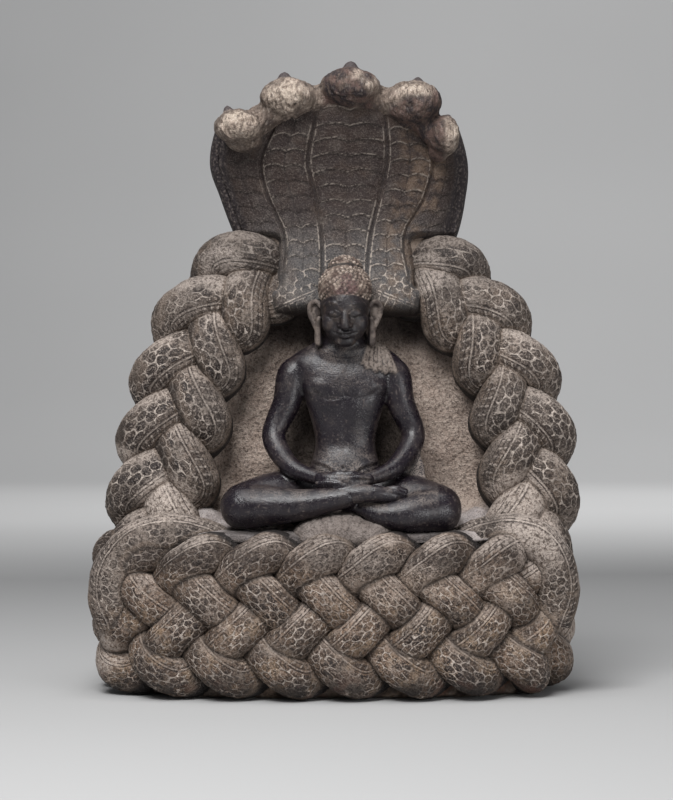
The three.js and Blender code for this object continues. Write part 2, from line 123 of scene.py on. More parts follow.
# %% One material and the one method that adds its nodes
class Paint:
    def __init__(self, name):
        self.material = bpy.data.materials.new(name)
        self.material.use_nodes = True
        self.nodes = self.material.node_tree.nodes
        self.links = self.material.node_tree.links
        self.surface = self.nodes["Principled BSDF"]
        place = self.node("TexCoord", {}, {}, "Object")
        self.place = self.node("VectorMath", {"operation": "SCALE"}, {0: place, "Scale": 1 / MM})

    def node(self, kind, settings, sockets, output=0):
        made = self.nodes.new("ShaderNode" + kind)
        for name, value in settings.items():
            setattr(made, name, value)
        for name, value in sockets.items():
            self.feed(made.inputs[name], value)
        return Amount(self, made.outputs[output])

    def feed(self, socket, value):
        if isinstance(value, Amount):
            self.links.new(value.socket, socket)
        elif socket.type == "RGBA" and len(value) == 3:
            socket.default_value = (*value, 1)
        else:
            socket.default_value = value

    def blend(self, share, first, second):
        """A colour: the first where share is 0, the second where it is 1."""
        return self.node("Mix", {"data_type": "RGBA"}, {0: share, 6: first, 7: second}, 2)

    def base(self, share, first, second):
        """The colour under all coats."""
        self.colour = self.blend(share, first, second)

    def coat(self, share, colour):
        """Lays a colour over those already there, more of it where share is larger."""
        self.colour = self.blend(share, self.colour, colour)

    def noise(self, size, detail=2, seed=0, stretch=(1, 1, 1)):
        """Blotches of about that size in millimetres, from 0 to 1 with most near a half."""
        place = self.place
        if stretch != (1, 1, 1):
            place = self.node("VectorMath", {"operation": "MULTIPLY"}, {0: place, 1: stretch})
        sockets = {"Vector": place, "W": seed, "Scale": 1 / size, "Detail": detail}
        return self.node("TexNoise", {"noise_dimensions": "4D"}, sockets)

    def pattern(self):
        spot = self.node("UVMap", {"uv_map": "pattern"}, {})
        return [self.node("SeparateXYZ", {}, {0: spot}, axis) for axis in range(2)]

    def axis(self, name):
        """A point's place along one axis in millimetres: X across, Z up."""
        return self.node("SeparateXYZ", {}, {0: self.place}, name)

    def mark(self, name):
        return self.node("Attribute", {"attribute_name": name}, {}, "Fac")

    def done(self, roughness, relief, specular=0.5):
        """relief is in millimetres, and is felt as a bump."""
        self.feed(self.surface.inputs["Base Color"], self.colour)
        self.feed(self.surface.inputs["Roughness"], roughness)
        self.surface.inputs["Specular IOR Level"].default_value = specular
        normal = self.node("Bump", {}, {"Strength": 1.0, "Distance": MM, "Height": relief})
        self.feed(self.surface.inputs["Normal"], normal)
        return self.material


# %% [markdown]
# ## The scales, drawn once
# The serpent's scales are a net of raised lines round sunken cells. The same rule has to shape
# the mesh and colour it, so it is written twice with the same numbers: here for the shader and
# further down for the mesh. Cells sit in staggered rows, and how far a point lies inside its
# cell is 0 on the line between two cells and a half at the middle.


# %% How far a point of the pattern lies inside its scale, as shader nodes
ROW = math.sqrt(3)  # two staggered rows of cells are this far apart, in cells
ROUNDING = 0.6  # share of roundness in a cell's outline, the rest is a hexagon


def scale_nodes(paint, u, v):
    def offset(value, step, start):
        shifted = value - start
        return shifted - (shifted / step).math("ROUND") * step

    x, y = offset(u, 1, 0), offset(v, ROW, 0)
    other_x, other_y = offset(u, 1, 0.5), offset(v, ROW, ROW / 2)
    nearer = (other_x * other_x + other_y * other_y).math("LESS_THAN", x * x + y * y)
    x = x + (other_x - x) * nearer
    y = y + (other_y - y) * nearer
    cell = paint.node("CombineXYZ", {}, {0: u - x, 1: v - y})
    chance = paint.node("TexWhiteNoise", {"noise_dimensions": "2D"}, {"Vector": cell})
    wide, high = abs(x), abs(y)
    hexagon = wide.larger(wide * 0.5 + high * (ROW / 2))
    circle = (x * x + y * y).math("SQRT")
    return 0.5 - (hexagon * (1 - ROUNDING) + circle * ROUNDING), chance


# %% [markdown]
# ## The stone of the plait
# It is a warm grey-brown stone with ochre patches low on the seat. Wear has turned the raised net
# pale, and old dirt sits brown and black in the cells and in the incised lines. Where two strands
# meet the stone is darkened with dirt and painted shade, and painted shade darkens the arch's top
# under the hood. The outer left of the arch is blackened, and near the ground the stone is black
# with rusty patches. The coats go on in about that order, from the bare stone up. The seat and
# the arch have the same stone with another tint and another size of scale.

# %% Stone colours and the plait's scale sizes
SEAT_SCALE, ARCH_SCALE = 7.0, 8.6  # width of a scale on the seat and on the arch
BAND_EDGE = 8.2  # the belly band starts this far round the strand from its outward line
BAND_LINES = [9.0, 12.2, 17.0, 21.8]  # its incised lines
SCUTE, SCUTE_SLANT = 5.2, 0.35  # spacing and slant of the fine lines across the belly band

TAN = (0.235, 0.167, 0.122)  # red, green and blue as shares of full light
GREY = (0.18, 0.143, 0.12)
DUSTY = (0.33, 0.27, 0.228)
WORN = (0.43, 0.365, 0.322)
OCHRE = (0.4, 0.27, 0.165)
PALE = (0.53, 0.455, 0.4)
DIRT = (0.018, 0.0115, 0.0098)
BLACK = (0.009, 0.0065, 0.0065)
SMOKED = (0.036, 0.023, 0.017)
RUST = (0.12, 0.05, 0.03)
STAINED = (0.026, 0.017, 0.015)  # on the arch's outer left
TOP_ROW = (0.034, 0.021, 0.015)  # on the seat's upper row of strands
# painted shade on the arch's top, under the hood
SHADE_UNDER_HOOD = (0.05, 0.041, 0.037)
SOOT = (0.014, 0.009, 0.0075)
EARTH = (0.17, 0.125, 0.095)
SEAT_TINT, ARCH_TINT = (0.225, 0.137, 0.084), (0.11, 0.086, 0.072)


def near(value, middle, reach):
    """1 at the middle, falling to 0 at reach away."""
    return abs(value - middle).rise(reach, reach * 0.15)


def belly_plates(u, v, scale, speck):
    """1 on the plates of the belly band, 1 on the lines across them, and 1 on its long lines."""
    round_it = v * scale
    plate = (u + v * SCUTE_SLANT) * (scale / SCUTE)
    cross = (abs(plate - plate.math("ROUND")) * SCUTE).rise(0.85, 0.35) * speck.rise(0.35, 0.5)
    plates = round_it.rise(BAND_LINES[1] + 0.2, BAND_LINES[1] + 1)
    plates = plates * round_it.rise(BAND_LINES[3] - 1, BAND_LINES[3] - 2)
    lines = near(round_it, BAND_LINES[0], 0.95)
    for line in BAND_LINES[1:]:
        lines = lines.larger(near(round_it, line, 0.95))
    return plates, cross, lines


def scaled_stone(name, scale, tint, tinted, dark):
    """tint is mixed in by the share tinted. dark is how many of the scales hold old dirt."""
    paint = Paint(name)
    u, v = paint.pattern()
    inside, chance = scale_nodes(paint, u, v)
    round_it = v * scale
    crevice, worn = paint.mark("crevice"), paint.mark("worn")
    broad, patch = paint.noise(60, 3, 1), paint.noise(14, 3, 2)
    speck, grit = paint.noise(3.2, 5, 3), paint.noise(1.5, 4, 4)
    height = paint.axis("Z")
    cluster = paint.noise(26, 2, 9).rise(0.42, 0.58)
    kept = (1 - worn * 0.9) * patch.rise(0.66, 0.48)
    scales = round_it.rise(BAND_EDGE, BAND_EDGE - 1.2)

    paint.base(broad.rise(0.38, 0.62), TAN, GREY)
    paint.coat(tinted, tint)
    paint.coat(patch.rise(0.5, 0.68) * 0.6, DUSTY)
    shade = paint.noise(34, 2, 21).rise(0.42, 0.6)
    paint.coat(shade * (1 - worn) * 0.65, SMOKED)
    outer_left = paint.axis("X").rise(-142, -178) * height.rise(150, 210)
    outer_left = outer_left * (1 - worn) * patch.rise(0.28, 0.46)
    paint.coat(outer_left * 0.6, STAINED)
    ochre = paint.noise(21, 3, 23).rise(0.5, 0.62) * tinted * height.rise(150, 70)
    paint.coat(ochre * 0.55, OCHRE)
    top_row = height.rise(108, 132) * height.rise(176, 158)
    paint.coat(top_row * tinted * broad.rise(0.3, 0.5), TOP_ROW)
    paint.coat(worn * speck.rise(0.7, 0.45) * 0.85, WORN)
    paint.coat(speck.rise(0.5, 0.6) * (0.7 - worn * 0.3), DIRT)
    filled = (chance * 0.5 + cluster * dark + outer_left * 0.6).smaller(1)
    filled = filled * (1 - paint.axis("X").rise(110, 190) * 0.35)
    dark_cells = inside.rise(0.05, 0.12) * filled * kept.larger(outer_left * 0.8) * scales
    paint.coat(dark_cells * grit.rise(0.62, 0.5), DIRT)
    rim = inside.rise(0.085, 0.03) * scales * speck.rise(0.36, 0.5)
    net = rim * (0.1 + kept * 0.9) * (1 - top_row * tinted * 0.6)
    paint.coat(net * 0.85, PALE)

    plates, cross, lines = belly_plates(u, v, scale, speck)
    kept_plates = plates * (0.15 + kept * 0.85)
    paint.coat(kept_plates * (1 - cross) * cluster * 0.7, DIRT)
    paint.coat(kept_plates * cross * 0.6, PALE)
    lines = lines * patch.rise(0.7, 0.45) * speck.rise(0.3, 0.45)
    paint.coat(lines * 0.85, DIRT)
    cord = near(round_it, sum(BAND_LINES[:2]) / 2, 1.1) * speck.rise(0.35, 0.5)
    paint.coat(cord * 0.52, PALE)
    paint.coat(grit.rise(0.5, 0.62) * (1 - top_row * 0.5) * 0.27, PALE)
    paint.coat(grit.rise(0.48, 0.36) * 0.5, DIRT)

    ground = height.rise(34, 4)
    paint.coat(ground * patch.rise(0.36, 0.56) * 0.85, BLACK)
    paint.coat(ground * paint.noise(26, 3, 8).rise(0.56, 0.66) * 0.6, RUST)
    # Painted shade: the arch darkens towards its top, under the hood.
    paint.coat(height.rise(350, 420) * 0.4, SHADE_UNDER_HOOD)
    clump = paint.noise(17, 3, 22).rise(0.6, 0.44)
    paint.coat(clump * (1 - worn) * 0.36, SOOT)
    joint = crevice.rise(0.03, 0.3) * patch.rise(0.3, 0.55)
    paint.coat(joint * 0.4, EARTH)
    # Black where strands meet and dip under each other: dirt and painted shade.
    paint.coat(crevice.rise(0.34, 0.95) * 0.95, BLACK)
    roughness = 0.66 - dark_cells * 0.2 + speck.rise(0.4, 0.7) * 0.15
    relief = (grit - 0.5) * 2.0 + (speck - 0.5) * 1.8 + (patch - 0.5) * 1.6 - lines * 0.4
    relief = relief + rim * (0.15 + kept * 0.55) + inside.rise(0.08, 0.4) * kept * scales * 0.5
    relief = relief + kept_plates * cross * 0.35
    return paint.done(roughness, relief, 0.4)


SEAT_STONE = scaled_stone("seat_stone", SEAT_SCALE, SEAT_TINT, tinted=0.8, dark=0.65)
ARCH_STONE = scaled_stone("arch_stone", ARCH_SCALE, ARCH_TINT, tinted=0.4, dark=0.8)
print("materials", SEAT_STONE.name, ARCH_STONE.name)

# %% [markdown]
# ## Tools for carving a mesh
# Every strand, the hood and the ground start as a flat grid of corners, which is bent into shape
# and then carved by moving each corner along its outward direction. Working on all corners at
# once with numpy keeps a mesh of a hundred thousand corners quick.


# %% Smooth steps, unit vectors and blotchy noise
def smooth(value):
    value = np.clip(value, 0, 1)
    return value * value * (3 - 2 * value)


def mix(first, second, share):
    return first + (second - first) * share


def unit(vectors):
    return vectors / np.maximum(np.linalg.norm(vectors, axis=-1, keepdims=True), 1e-9)


def spline(stops, each=8):
    """A smooth row of stops through the given ones."""
    stops = np.array(stops, float)
    ends = np.vstack([2 * stops[0] - stops[1], stops, 2 * stops[-1] - stops[-2]])
    t = np.linspace(0, len(stops) - 1, each * (len(stops) - 1) + 1)
    i = np.minimum(t.astype(int), len(stops) - 2)
    f = (t - i)[:, None]
    before, start, end, after = ends[i], ends[i + 1], ends[i + 2], ends[i + 3]
    slope = (end - before) * f
    bend = (2 * before - 5 * start + 4 * end - after) * f**2
    twist = (3 * start - before - 3 * end + after) * f**3
    return start + 0.5 * (slope + bend + twist)


def line_at(value, middle, width):
    """A soft line: 1 at the middle, and small a width away."""
    return np.exp(-(((value - middle) / width) ** 2))


SCRAMBLERS = 73856093, 19349663, 83492791, 49979687, 1274126177  # large primes


def chance_at(cells, seed):
    """A fixed number from 0 to 1 for each whole-numbered cell."""
    x, y, z = cells[..., 0], cells[..., 1], cells[..., 2]
    for_x, for_y, for_z, for_seed, last = SCRAMBLERS
    mixed = (x * for_x) ^ (y * for_y) ^ (z * for_z) ^ (seed * for_seed)
    mixed = ((mixed ^ (mixed >> 13)) * last) & 0x7FFFFFFF
    return ((mixed ^ (mixed >> 15)) & 0xFFFF) / 0xFFFF


def grain(points, size, seed=0):
    """Smooth heights from -1 to 1 with bumps of about that size."""
    spots = points / size + 997
    cells = np.floor(spots).astype(np.int64)
    share = smooth(spots - cells)
    total = 0
    for corner in itertools.product((0, 1), repeat=3):
        weight = np.prod(np.where(corner, share, 1 - share), axis=-1)
        total = total + weight * chance_at(cells + np.array(corner), seed)
    return 2 * total - 1


# %% Distances along a line
def distances(line):
    """How far along a row of points each of them lies."""
    steps = np.linalg.norm(np.diff(line, axis=0), axis=1)
    return np.concatenate([[0], np.cumsum(steps)])


def along_line(s, far, line):
    """Points at the distances s, on a line whose own points lie at the distances far."""
    return np.stack([np.interp(s, far, column) for column in line.T], axis=1)


# %% Read, write and bend meshes
SEAM = 0.002  # corners nearer than this are one
PAST = 9  # a ring that closes an end is told by a place this far past the end


def corners_of(mesh):
    corners = np.empty(len(mesh.vertices) * 3, np.float32)
    mesh.vertices.foreach_get("co", corners)
    return corners.reshape(-1, 3).astype(float)


def normals_of(mesh):
    normals = np.empty(len(mesh.vertices) * 3, np.float32)
    mesh.vertex_normals.foreach_get("vector", normals)
    return normals.reshape(-1, 3).astype(float)


def move_corners(mesh, points):
    mesh.vertices.foreach_set("co", points.astype(np.float32).ravel())
    mesh.update()


def add_marks(mesh, **marks):
    """Numbers for each corner, which the material reads by name."""
    for name, values in marks.items():
        attribute = mesh.attributes.new(name, "FLOAT", "POINT")
        attribute.data.foreach_set("value", values.astype(np.float32))


def as_mesh(shape, name):
    mesh = bpy.data.meshes.new(name)
    shape.to_mesh(mesh)
    shape.free()
    return mesh


def bend_grid(name, across, along, place):
    """A grid whose corners go where place puts them. It gives points in millimetres, their
    places in the carved pattern, and marks for the material."""
    shape = bmesh.new()
    columns, rows = len(across) - 1, len(along) - 1
    bmesh.ops.create_grid(shape, x_segments=columns, y_segments=rows, size=1)
    mesh = as_mesh(shape, name)
    spots = corners_of(mesh)[:, :2]
    spots = (spots - spots.min(0)) / np.ptp(spots, axis=0)
    column = np.rint(spots[:, 0] * columns).astype(int)
    row = np.rint(spots[:, 1] * rows).astype(int)
    points, pattern, marks = place(across[column], along[row])
    move_corners(mesh, points * MM)
    owner = np.empty(len(mesh.loops), np.int32)
    mesh.loops.foreach_get("vertex_index", owner)
    layer = mesh.uv_layers.new(name="pattern")
    layer.data.foreach_set("uv", pattern[owner].astype(np.float32).ravel())
    add_marks(mesh, **marks)
    close(mesh)
    return mesh


def close(mesh):
    """Joins corners that meet, at a seam or an end, and turns every face outwards."""
    shape = bmesh.new()
    shape.from_mesh(mesh)
    bmesh.ops.remove_doubles(shape, verts=shape.verts, dist=SEAM * MM)
    bmesh.ops.recalc_face_normals(shape, faces=shape.faces)
    shape.to_mesh(mesh)
    shape.free()


def keep_piece(mesh, material):
    """The finished mesh as a piece that stands for the stone."""
    mesh.materials.clear()
    mesh.materials.append(material)
    mesh.polygons.foreach_set("use_smooth", np.ones(len(mesh.polygons), bool))
    piece = bpy.data.objects.new(mesh.name, mesh)
    bpy.context.scene.collection.objects.link(piece)
    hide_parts("naga_buddha")
    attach(piece, "root")
    mesh.calc_loop_triangles()
    print(f"{piece.name}: {len(mesh.loop_triangles)} triangles")


def spaced(*ranges):
    """Places from each range of (start, end, spacing), without repeats."""
    parts = [np.linspace(a, b, max(2, round((b - a) / step) + 1)) for a, b, step in ranges]
    return np.unique(np.round(np.concatenate(parts), 6))


# %% [markdown]
# ## Where the strands run
# A plait is simple to describe by numbers. Each strand swings from one edge of the plait to the
# other and back, and sinks and rises as it passes under and over its neighbours. All strands
# follow the same rule, each a little later than the one before. What is left is the line that
# the whole plait follows: round the seat, and up each side of the niche.


# %% A line measured by how far along it one is
class Route:
    """soften rounds the corners over that many half millimetres. out and across give the
    directions away from the stone and over the width of the plait."""

    def __init__(self, points, soften, out, across):
        far = distances(points)
        even = np.linspace(0, far[-1], round(far[-1]) * 2)
        line = along_line(even, far, points)
        window = 2 * soften + 1
        ends = np.pad(line, ((soften, soften), (0, 0)), mode="edge")
        total = np.cumsum(np.vstack([np.zeros(3), ends]), axis=0)
        self.line = (total[window:] - total[:-window]) / window
        self.far = distances(self.line)
        self.length = self.far[-1]
        self.out, self.across = out, across

    def point(self, s):
        return along_line(s, self.far, self.line)

    def along(self, s):
        return unit(self.point(s + 1.5) - self.point(s - 1.5))


# %% The line round the seat
# The seat's plan is a rounded box, between an ellipse and a rectangle.
SEAT_HALF_WIDTH, SEAT_FRONT, SEAT_BACK, SEAT_HEIGHT = 233, 112, 90, 156
SEAT_SHOULDER = 25  # the plan's widest line, behind the middle plane
SEAT_SQUARENESS = 3.1
TURN = 0.93  # roundness of a strand's turns at the edges
SEAT_INSET = 31  # the plait's middle line runs this far inside its surface


def plan_point(turn, inset):
    def share(value):
        return np.sign(value) * np.abs(value) ** (2 / SEAT_SQUARENESS)

    wide = SEAT_HALF_WIDTH - inset
    deep = SEAT_FRONT + SEAT_SHOULDER - inset
    return wide * share(np.cos(turn)), SEAT_SHOULDER - deep * share(np.sin(turn))


def seat_route():
    x, y = plan_point(np.linspace(0, math.pi, 4001), SEAT_INSET)
    corner_x, corner_y = SEAT_HALF_WIDTH - 2 * SEAT_INSET, SEAT_BACK - SEAT_INSET
    straight_y = SEAT_BACK - 2 * SEAT_INSET
    x = np.concatenate([[corner_x, x[0]], x, [x[-1], -corner_x]])
    y = np.concatenate([[corner_y, straight_y], y, [straight_y, corner_y]])
    line = np.stack([x, y, np.full_like(x, SEAT_HEIGHT / 2 + 1)], axis=1)
    up = np.array([0, 0, 1.0])

    def out(along):
        return -np.cross(along, up)

    def across(along, out):
        return np.broadcast_to(up, along.shape)

    return Route(line, 10, out, across)


# %% The line up each side of the niche
ARCH_FOOT, ARCH_RISE = SEAT_HEIGHT - 3, 250
ARCH_TAIL, TAIL_DIVE = 62, 52  # the line starts this far below the foot, and there this far in
ARCH_SPLAY = math.radians(14)  # the plait's face turns outwards by this
ARCH_FRONT, ARCH_LEAN = -6, 14  # its place back, and how far it leans back by the top
TOP_DIVE = TOP_STRETCH = 34  # the last stretch sinks back by as much as its length
# Each side has its half width at the foot, how it narrows, where its crown lies as a share of
# the rise, how square its curve is, where its plait starts, half the plait's width and the
# share of the line that the plait covers.
LEFT = dict(side=-1, half=171, lean=0.28, peak=1.06, power=6, lead=44, reach=33, share=0.9)
RIGHT = dict(side=1, half=189, lean=0, peak=1.09, power=2.6, lead=46, reach=28, share=0.84)


def arch_line(shape, w):
    tail = ARCH_TAIL / ARCH_RISE
    climb = (shape["peak"] + tail) * np.sin(math.pi / 2 * w) - tail
    dive = TAIL_DIVE * (np.minimum(0, climb) / tail) ** 2
    narrowing = np.sqrt(np.maximum(0, 1 - (np.maximum(0, climb) / shape["peak"]) ** shape["power"]))
    reach = shape["half"] * (1 - shape["lean"] * climb) * narrowing - dive
    x, y, z = shape["side"] * reach, ARCH_FRONT + ARCH_LEAN * climb, ARCH_FOOT + ARCH_RISE * climb
    return np.stack([x, y, z], axis=1)


def arch_foot(shape):
    tail = ARCH_TAIL / ARCH_RISE
    return 2 / math.pi * math.asin(tail / (shape["peak"] + tail))


def outer_side(shape, along):
    """The direction away from the niche, in the plane of the arch."""
    return unit(np.cross(np.array([0, -1.0, 0]), along) * -shape["side"])


def arch_route(shape):
    line = arch_line(shape, np.linspace(0, 1, 4001))

    def out(along):
        forward = np.array([0, -math.cos(ARCH_SPLAY), 0])
        return forward + math.sin(ARCH_SPLAY) * outer_side(shape, along)

    def across(along, out):
        return unit(np.cross(out, along) * -shape["side"])

    return Route(line, 4, out, across)


# %% A plait: its strands' lines and the frame round each
class Plait:
    """radius is a strand's, weave how far it rises and sinks, pitch the step between crossings,
    lead where the pattern starts, reach half the plait's width, and band the side of the belly
    band. dive is how far back the plait's end sinks."""

    def __init__(self, route, length, strands, radius, weave, pitch, lead, reach, band, dive):
        self.route, self.length, self.strands, self.radius = route, length, strands, radius
        self.weave, self.pitch, self.lead, self.reach = weave, pitch, lead, reach
        self.band, self.dive = band, dive

    def phase(self, s, strand):
        late = math.pi / (2 * (self.strands - 1)) + 2 * math.pi * strand / self.strands
        return 2 * math.pi * (s - self.lead) / (self.strands * self.pitch) + late

    def over(self, s, strand):
        """1 where the strand rides over a neighbour, -1 where it runs under one."""
        return np.sin((self.strands - 1) * self.phase(s, strand))

    def base(self, s):
        along = self.route.along(s)
        out = self.route.out(along)
        across = self.route.across(along, out)
        point = self.route.point(s)
        point[:, 1] += self.dive * smooth((s - self.length + TOP_STRETCH) / TOP_STRETCH)
        return point, across, out

    def neighbours(self, strand):
        """Points along the other strands."""
        s = np.arange(0, self.length, 5.0)
        return np.concatenate([self.line(s, one) for one in range(self.strands) if one != strand])

    def line(self, s, strand):
        point, across, out = self.base(s)
        swing = np.arcsin(TURN * np.cos(self.phase(s, strand))) / math.asin(TURN)
        rise = self.weave * self.over(s, strand)
        return point + across * (self.reach * swing)[:, None] + out * rise[:, None]

    def frame(self, s, strand):
        along = unit(self.line(s + 1, strand) - self.line(s - 1, strand))
        first = unit(np.cross(self.base(s)[2], along))
        return self.line(s, strand), first, np.cross(along, first)


seat_line = seat_route()
SEAT_PLAIT = Plait(
    seat_line,
    seat_line.length,
    strands=5,
    radius=21,
    weave=12,
    pitch=56,
    lead=seat_line.length / 2 + 18.7,
    reach=57,
    band=1,
    dive=0,
)


def arch_plait(shape, band):
    route = arch_route(shape)
    below = distances(arch_line(shape, np.linspace(0, arch_foot(shape), 400)))[-1]
    return Plait(
        route,
        route.length * shape["share"],
        strands=3,
        radius=22,
        weave=11,
        pitch=57.5,
        lead=shape["lead"] + below,
        reach=shape["reach"],
        band=band,
        dive=TOP_DIVE,
    )


ARCH_PLAITS = {"left": arch_plait(LEFT, 1), "right": arch_plait(RIGHT, -1)}


# %% [markdown]
# At each foot of the arch a single strand comes out from beside the knee, lies over the top of
# the seat and runs down its corner. It swings to no rule, so it follows stops given one by one.
# It answers the same questions as a plait does, so the same function can carve it.


# %% A single strand that ties an arch to the seat
class Coil:
    aim = unit(np.array([0, -1.0, 0.25]))  # its scales face forwards and a little up

    def __init__(self, stops, radius, band):
        self.route = Route(spline(stops), 3, None, None)
        self.length, self.radius, self.band = self.route.length - 1, radius, band

    def neighbours(self, strand):
        s = np.arange(0, SEAT_PLAIT.length, 5.0)
        return np.concatenate([SEAT_PLAIT.line(s, one) for one in range(SEAT_PLAIT.strands)])

    def over(self, s, strand):
        return np.full_like(s, 0.5)

    def line(self, s, strand):
        return self.route.point(s)

    def base(self, s):
        point, along = self.route.point(s), self.route.along(s)
        aim = np.broadcast_to(self.aim, along.shape)
        return point, np.cross(aim, along), aim

    def frame(self, s, strand):
        along = self.route.along(s)
        first = unit(np.cross(self.aim, along))
        return self.route.point(s), first, np.cross(along, first)


COIL_STOPS = {  # across, back and up, from the knee over the seat and down its corner
    "left": [
        (-104, -40, 136),
        (-126, -50, 147),
        (-152, -58, 152),
        (-181, -59, 146),
        (-203, -55, 124),
        (-211, -50, 96),
        (-203, -44, 70),
    ],
    "right": [
        (122, -38, 138),
        (142, -49, 148),
        (168, -56, 153),
        (193, -57, 146),
        (209, -52, 124),
        (214, -48, 96),
        (206, -44, 70),
    ],
}
COILS = {
    "left": Coil(COIL_STOPS["left"], radius=21, band=1),
    "right": Coil(COIL_STOPS["right"], radius=20, band=-1),
}
print("the seat's plait is", round(SEAT_PLAIT.length), "mm along its middle line")

# %% [markdown]
# ## Carving the strands
# Each strand is a tube. Its surface is carved with the net of scales, and on one side with a
# belly band: four long lines, a cord between the first two, and fine lines across. Rings lie
# close together where the strand shows and further apart where it passes under another. The
# parts that hands and weather have worn are marked, and there the relief is shallow and the
# stone pale. Another mark darkens the stone where strands touch and where one dips under the
# next, with old dirt and painted shade.

# %% How far a point lies inside its scale, for the mesh
WORN_PLACES = [  # across, back, up and radius of each
    (-158, -28, 182, 30),
    (-213, -30, 44, 34),
    (-107, -12, 405, 26),
    (-196, 0, 216, 24),
    (226, 0, 74, 38),
    (176, -20, 182, 34),
    (86, -18, 402, 24),
    (188, -52, 146, 40),
    (222, -34, 112, 26),
    (-176, -46, 158, 20),
]


def inside_scale(u, v):
    def offset(value, step, start):
        shifted = value - start
        return shifted - np.round(shifted / step) * step

    x, y = offset(u, 1, 0), offset(v, ROW, 0)
    other_x, other_y = offset(u, 1, 0.5), offset(v, ROW, ROW / 2)
    nearer = other_x**2 + other_y**2 < x**2 + y**2
    x, y = np.where(nearer, other_x, x), np.where(nearer, other_y, y)
    hexagon = np.maximum(abs(x), abs(x) * 0.5 + abs(y) * ROW / 2)
    cells = np.stack([np.round(2 * (u - x)), np.round(2 * (v - y) / ROW), 0 * u], axis=-1)
    inside = 0.5 - (hexagon * (1 - ROUNDING) + np.hypot(x, y) * ROUNDING)
    return inside, chance_at(cells.astype(np.int64), 5)


def worn_at(points):
    worn = np.zeros(len(points))
    for *middle, radius in WORN_PLACES:
        away = np.linalg.norm(points - np.array(middle), axis=1) / radius
        worn = np.maximum(worn, smooth((1.15 - away) / 0.4))
    return np.clip(worn + 0.35 * smooth(grain(points, 55, 31) * 1.6 - 0.2), 0, 1)


# %% The relief of scales and belly band
def strand_relief(a, b, points, worn, scale):
    """Heights in millimetres, and the pattern's own places with the carver's wandering in them."""
    in_band = smooth((b - BAND_EDGE + 3) / 4)
    wander = 1 - in_band
    a = a + (0.4 + 1.7 * wander) * grain(points, 17, 11) + 1.3 * wander * grain(points, 7.5, 15)
    b = b + (0.4 + 1.4 * wander) * grain(points, 19, 12) + 1.3 * wander * grain(points, 8, 16)
    inside, chance = inside_scale(a / scale, b / scale)
    scales = smooth((BAND_EDGE - b) / 1.6) * smooth((b + 36) / 6)
    rim = 1 - smooth((inside - 0.02) / 0.1)
    dome = (0.3 + 0.5 * chance) * smooth((inside - 0.12) / 0.3)
    relief = scales * (0.7 * rim + dome - 0.4)
    shown = 0.45 + 0.55 * smooth(grain(points, 30, 14) + 0.8)
    for line in BAND_LINES:
        relief -= 0.85 * shown * line_at(b, line, 0.8)
    relief += 0.45 * line_at(b, (BAND_LINES[0] + BAND_LINES[1]) / 2, 0.9)
    scute = (a + SCUTE_SLANT * b) / SCUTE
    scute = abs(scute - np.round(scute)) * SCUTE
    relief += 0.3 * line_at(scute, 0, 0.6) * smooth((b - BAND_LINES[1]) / 1.5) * smooth((23 - b) / 2)
    relief *= 1 - 0.7 * worn
    return relief, np.stack([a, b], axis=1) / scale


# %% One strand as a mesh
FULLNESS = 2.2  # 2 makes a strand round, and more makes it squarer
SEAT_SWELL, ARCH_SWELL = -0.07, 0.05  # how much fuller a strand is where it rides over
SEAT_SUNK, ARCH_SUNK, COIL_SUNK = 3, -4, -18  # dirt and painted shade lie on what rises less than this, fading out
DARKENING_FADES = 15  # over this height
HIDDEN_STEP, SHOWN_STEP = 4.2, 1.65  # between rings, where the strand runs under and over
STAIN_HEIGHT = 150  # above it the arch's outer left is stained


def ring_places(plait, strand):
    """Places of the rings along the route: fine where the strand shows."""
    s = np.arange(0, plait.length, 1.0)
    stretch = np.linalg.norm(plait.line(s + 0.5, strand) - plait.line(s - 0.5, strand), axis=1)
    spacing = mix(HIDDEN_STEP, SHOWN_STEP, smooth((plait.over(s, strand) + 0.85) / 0.4))
    count = np.concatenate([[0], np.cumsum(stretch / spacing)])
    rings = np.interp(np.arange(0, count[-1]), count, np.append(s, plait.length))
    return np.concatenate([[-PAST], rings, [plait.length, plait.length + PAST]])


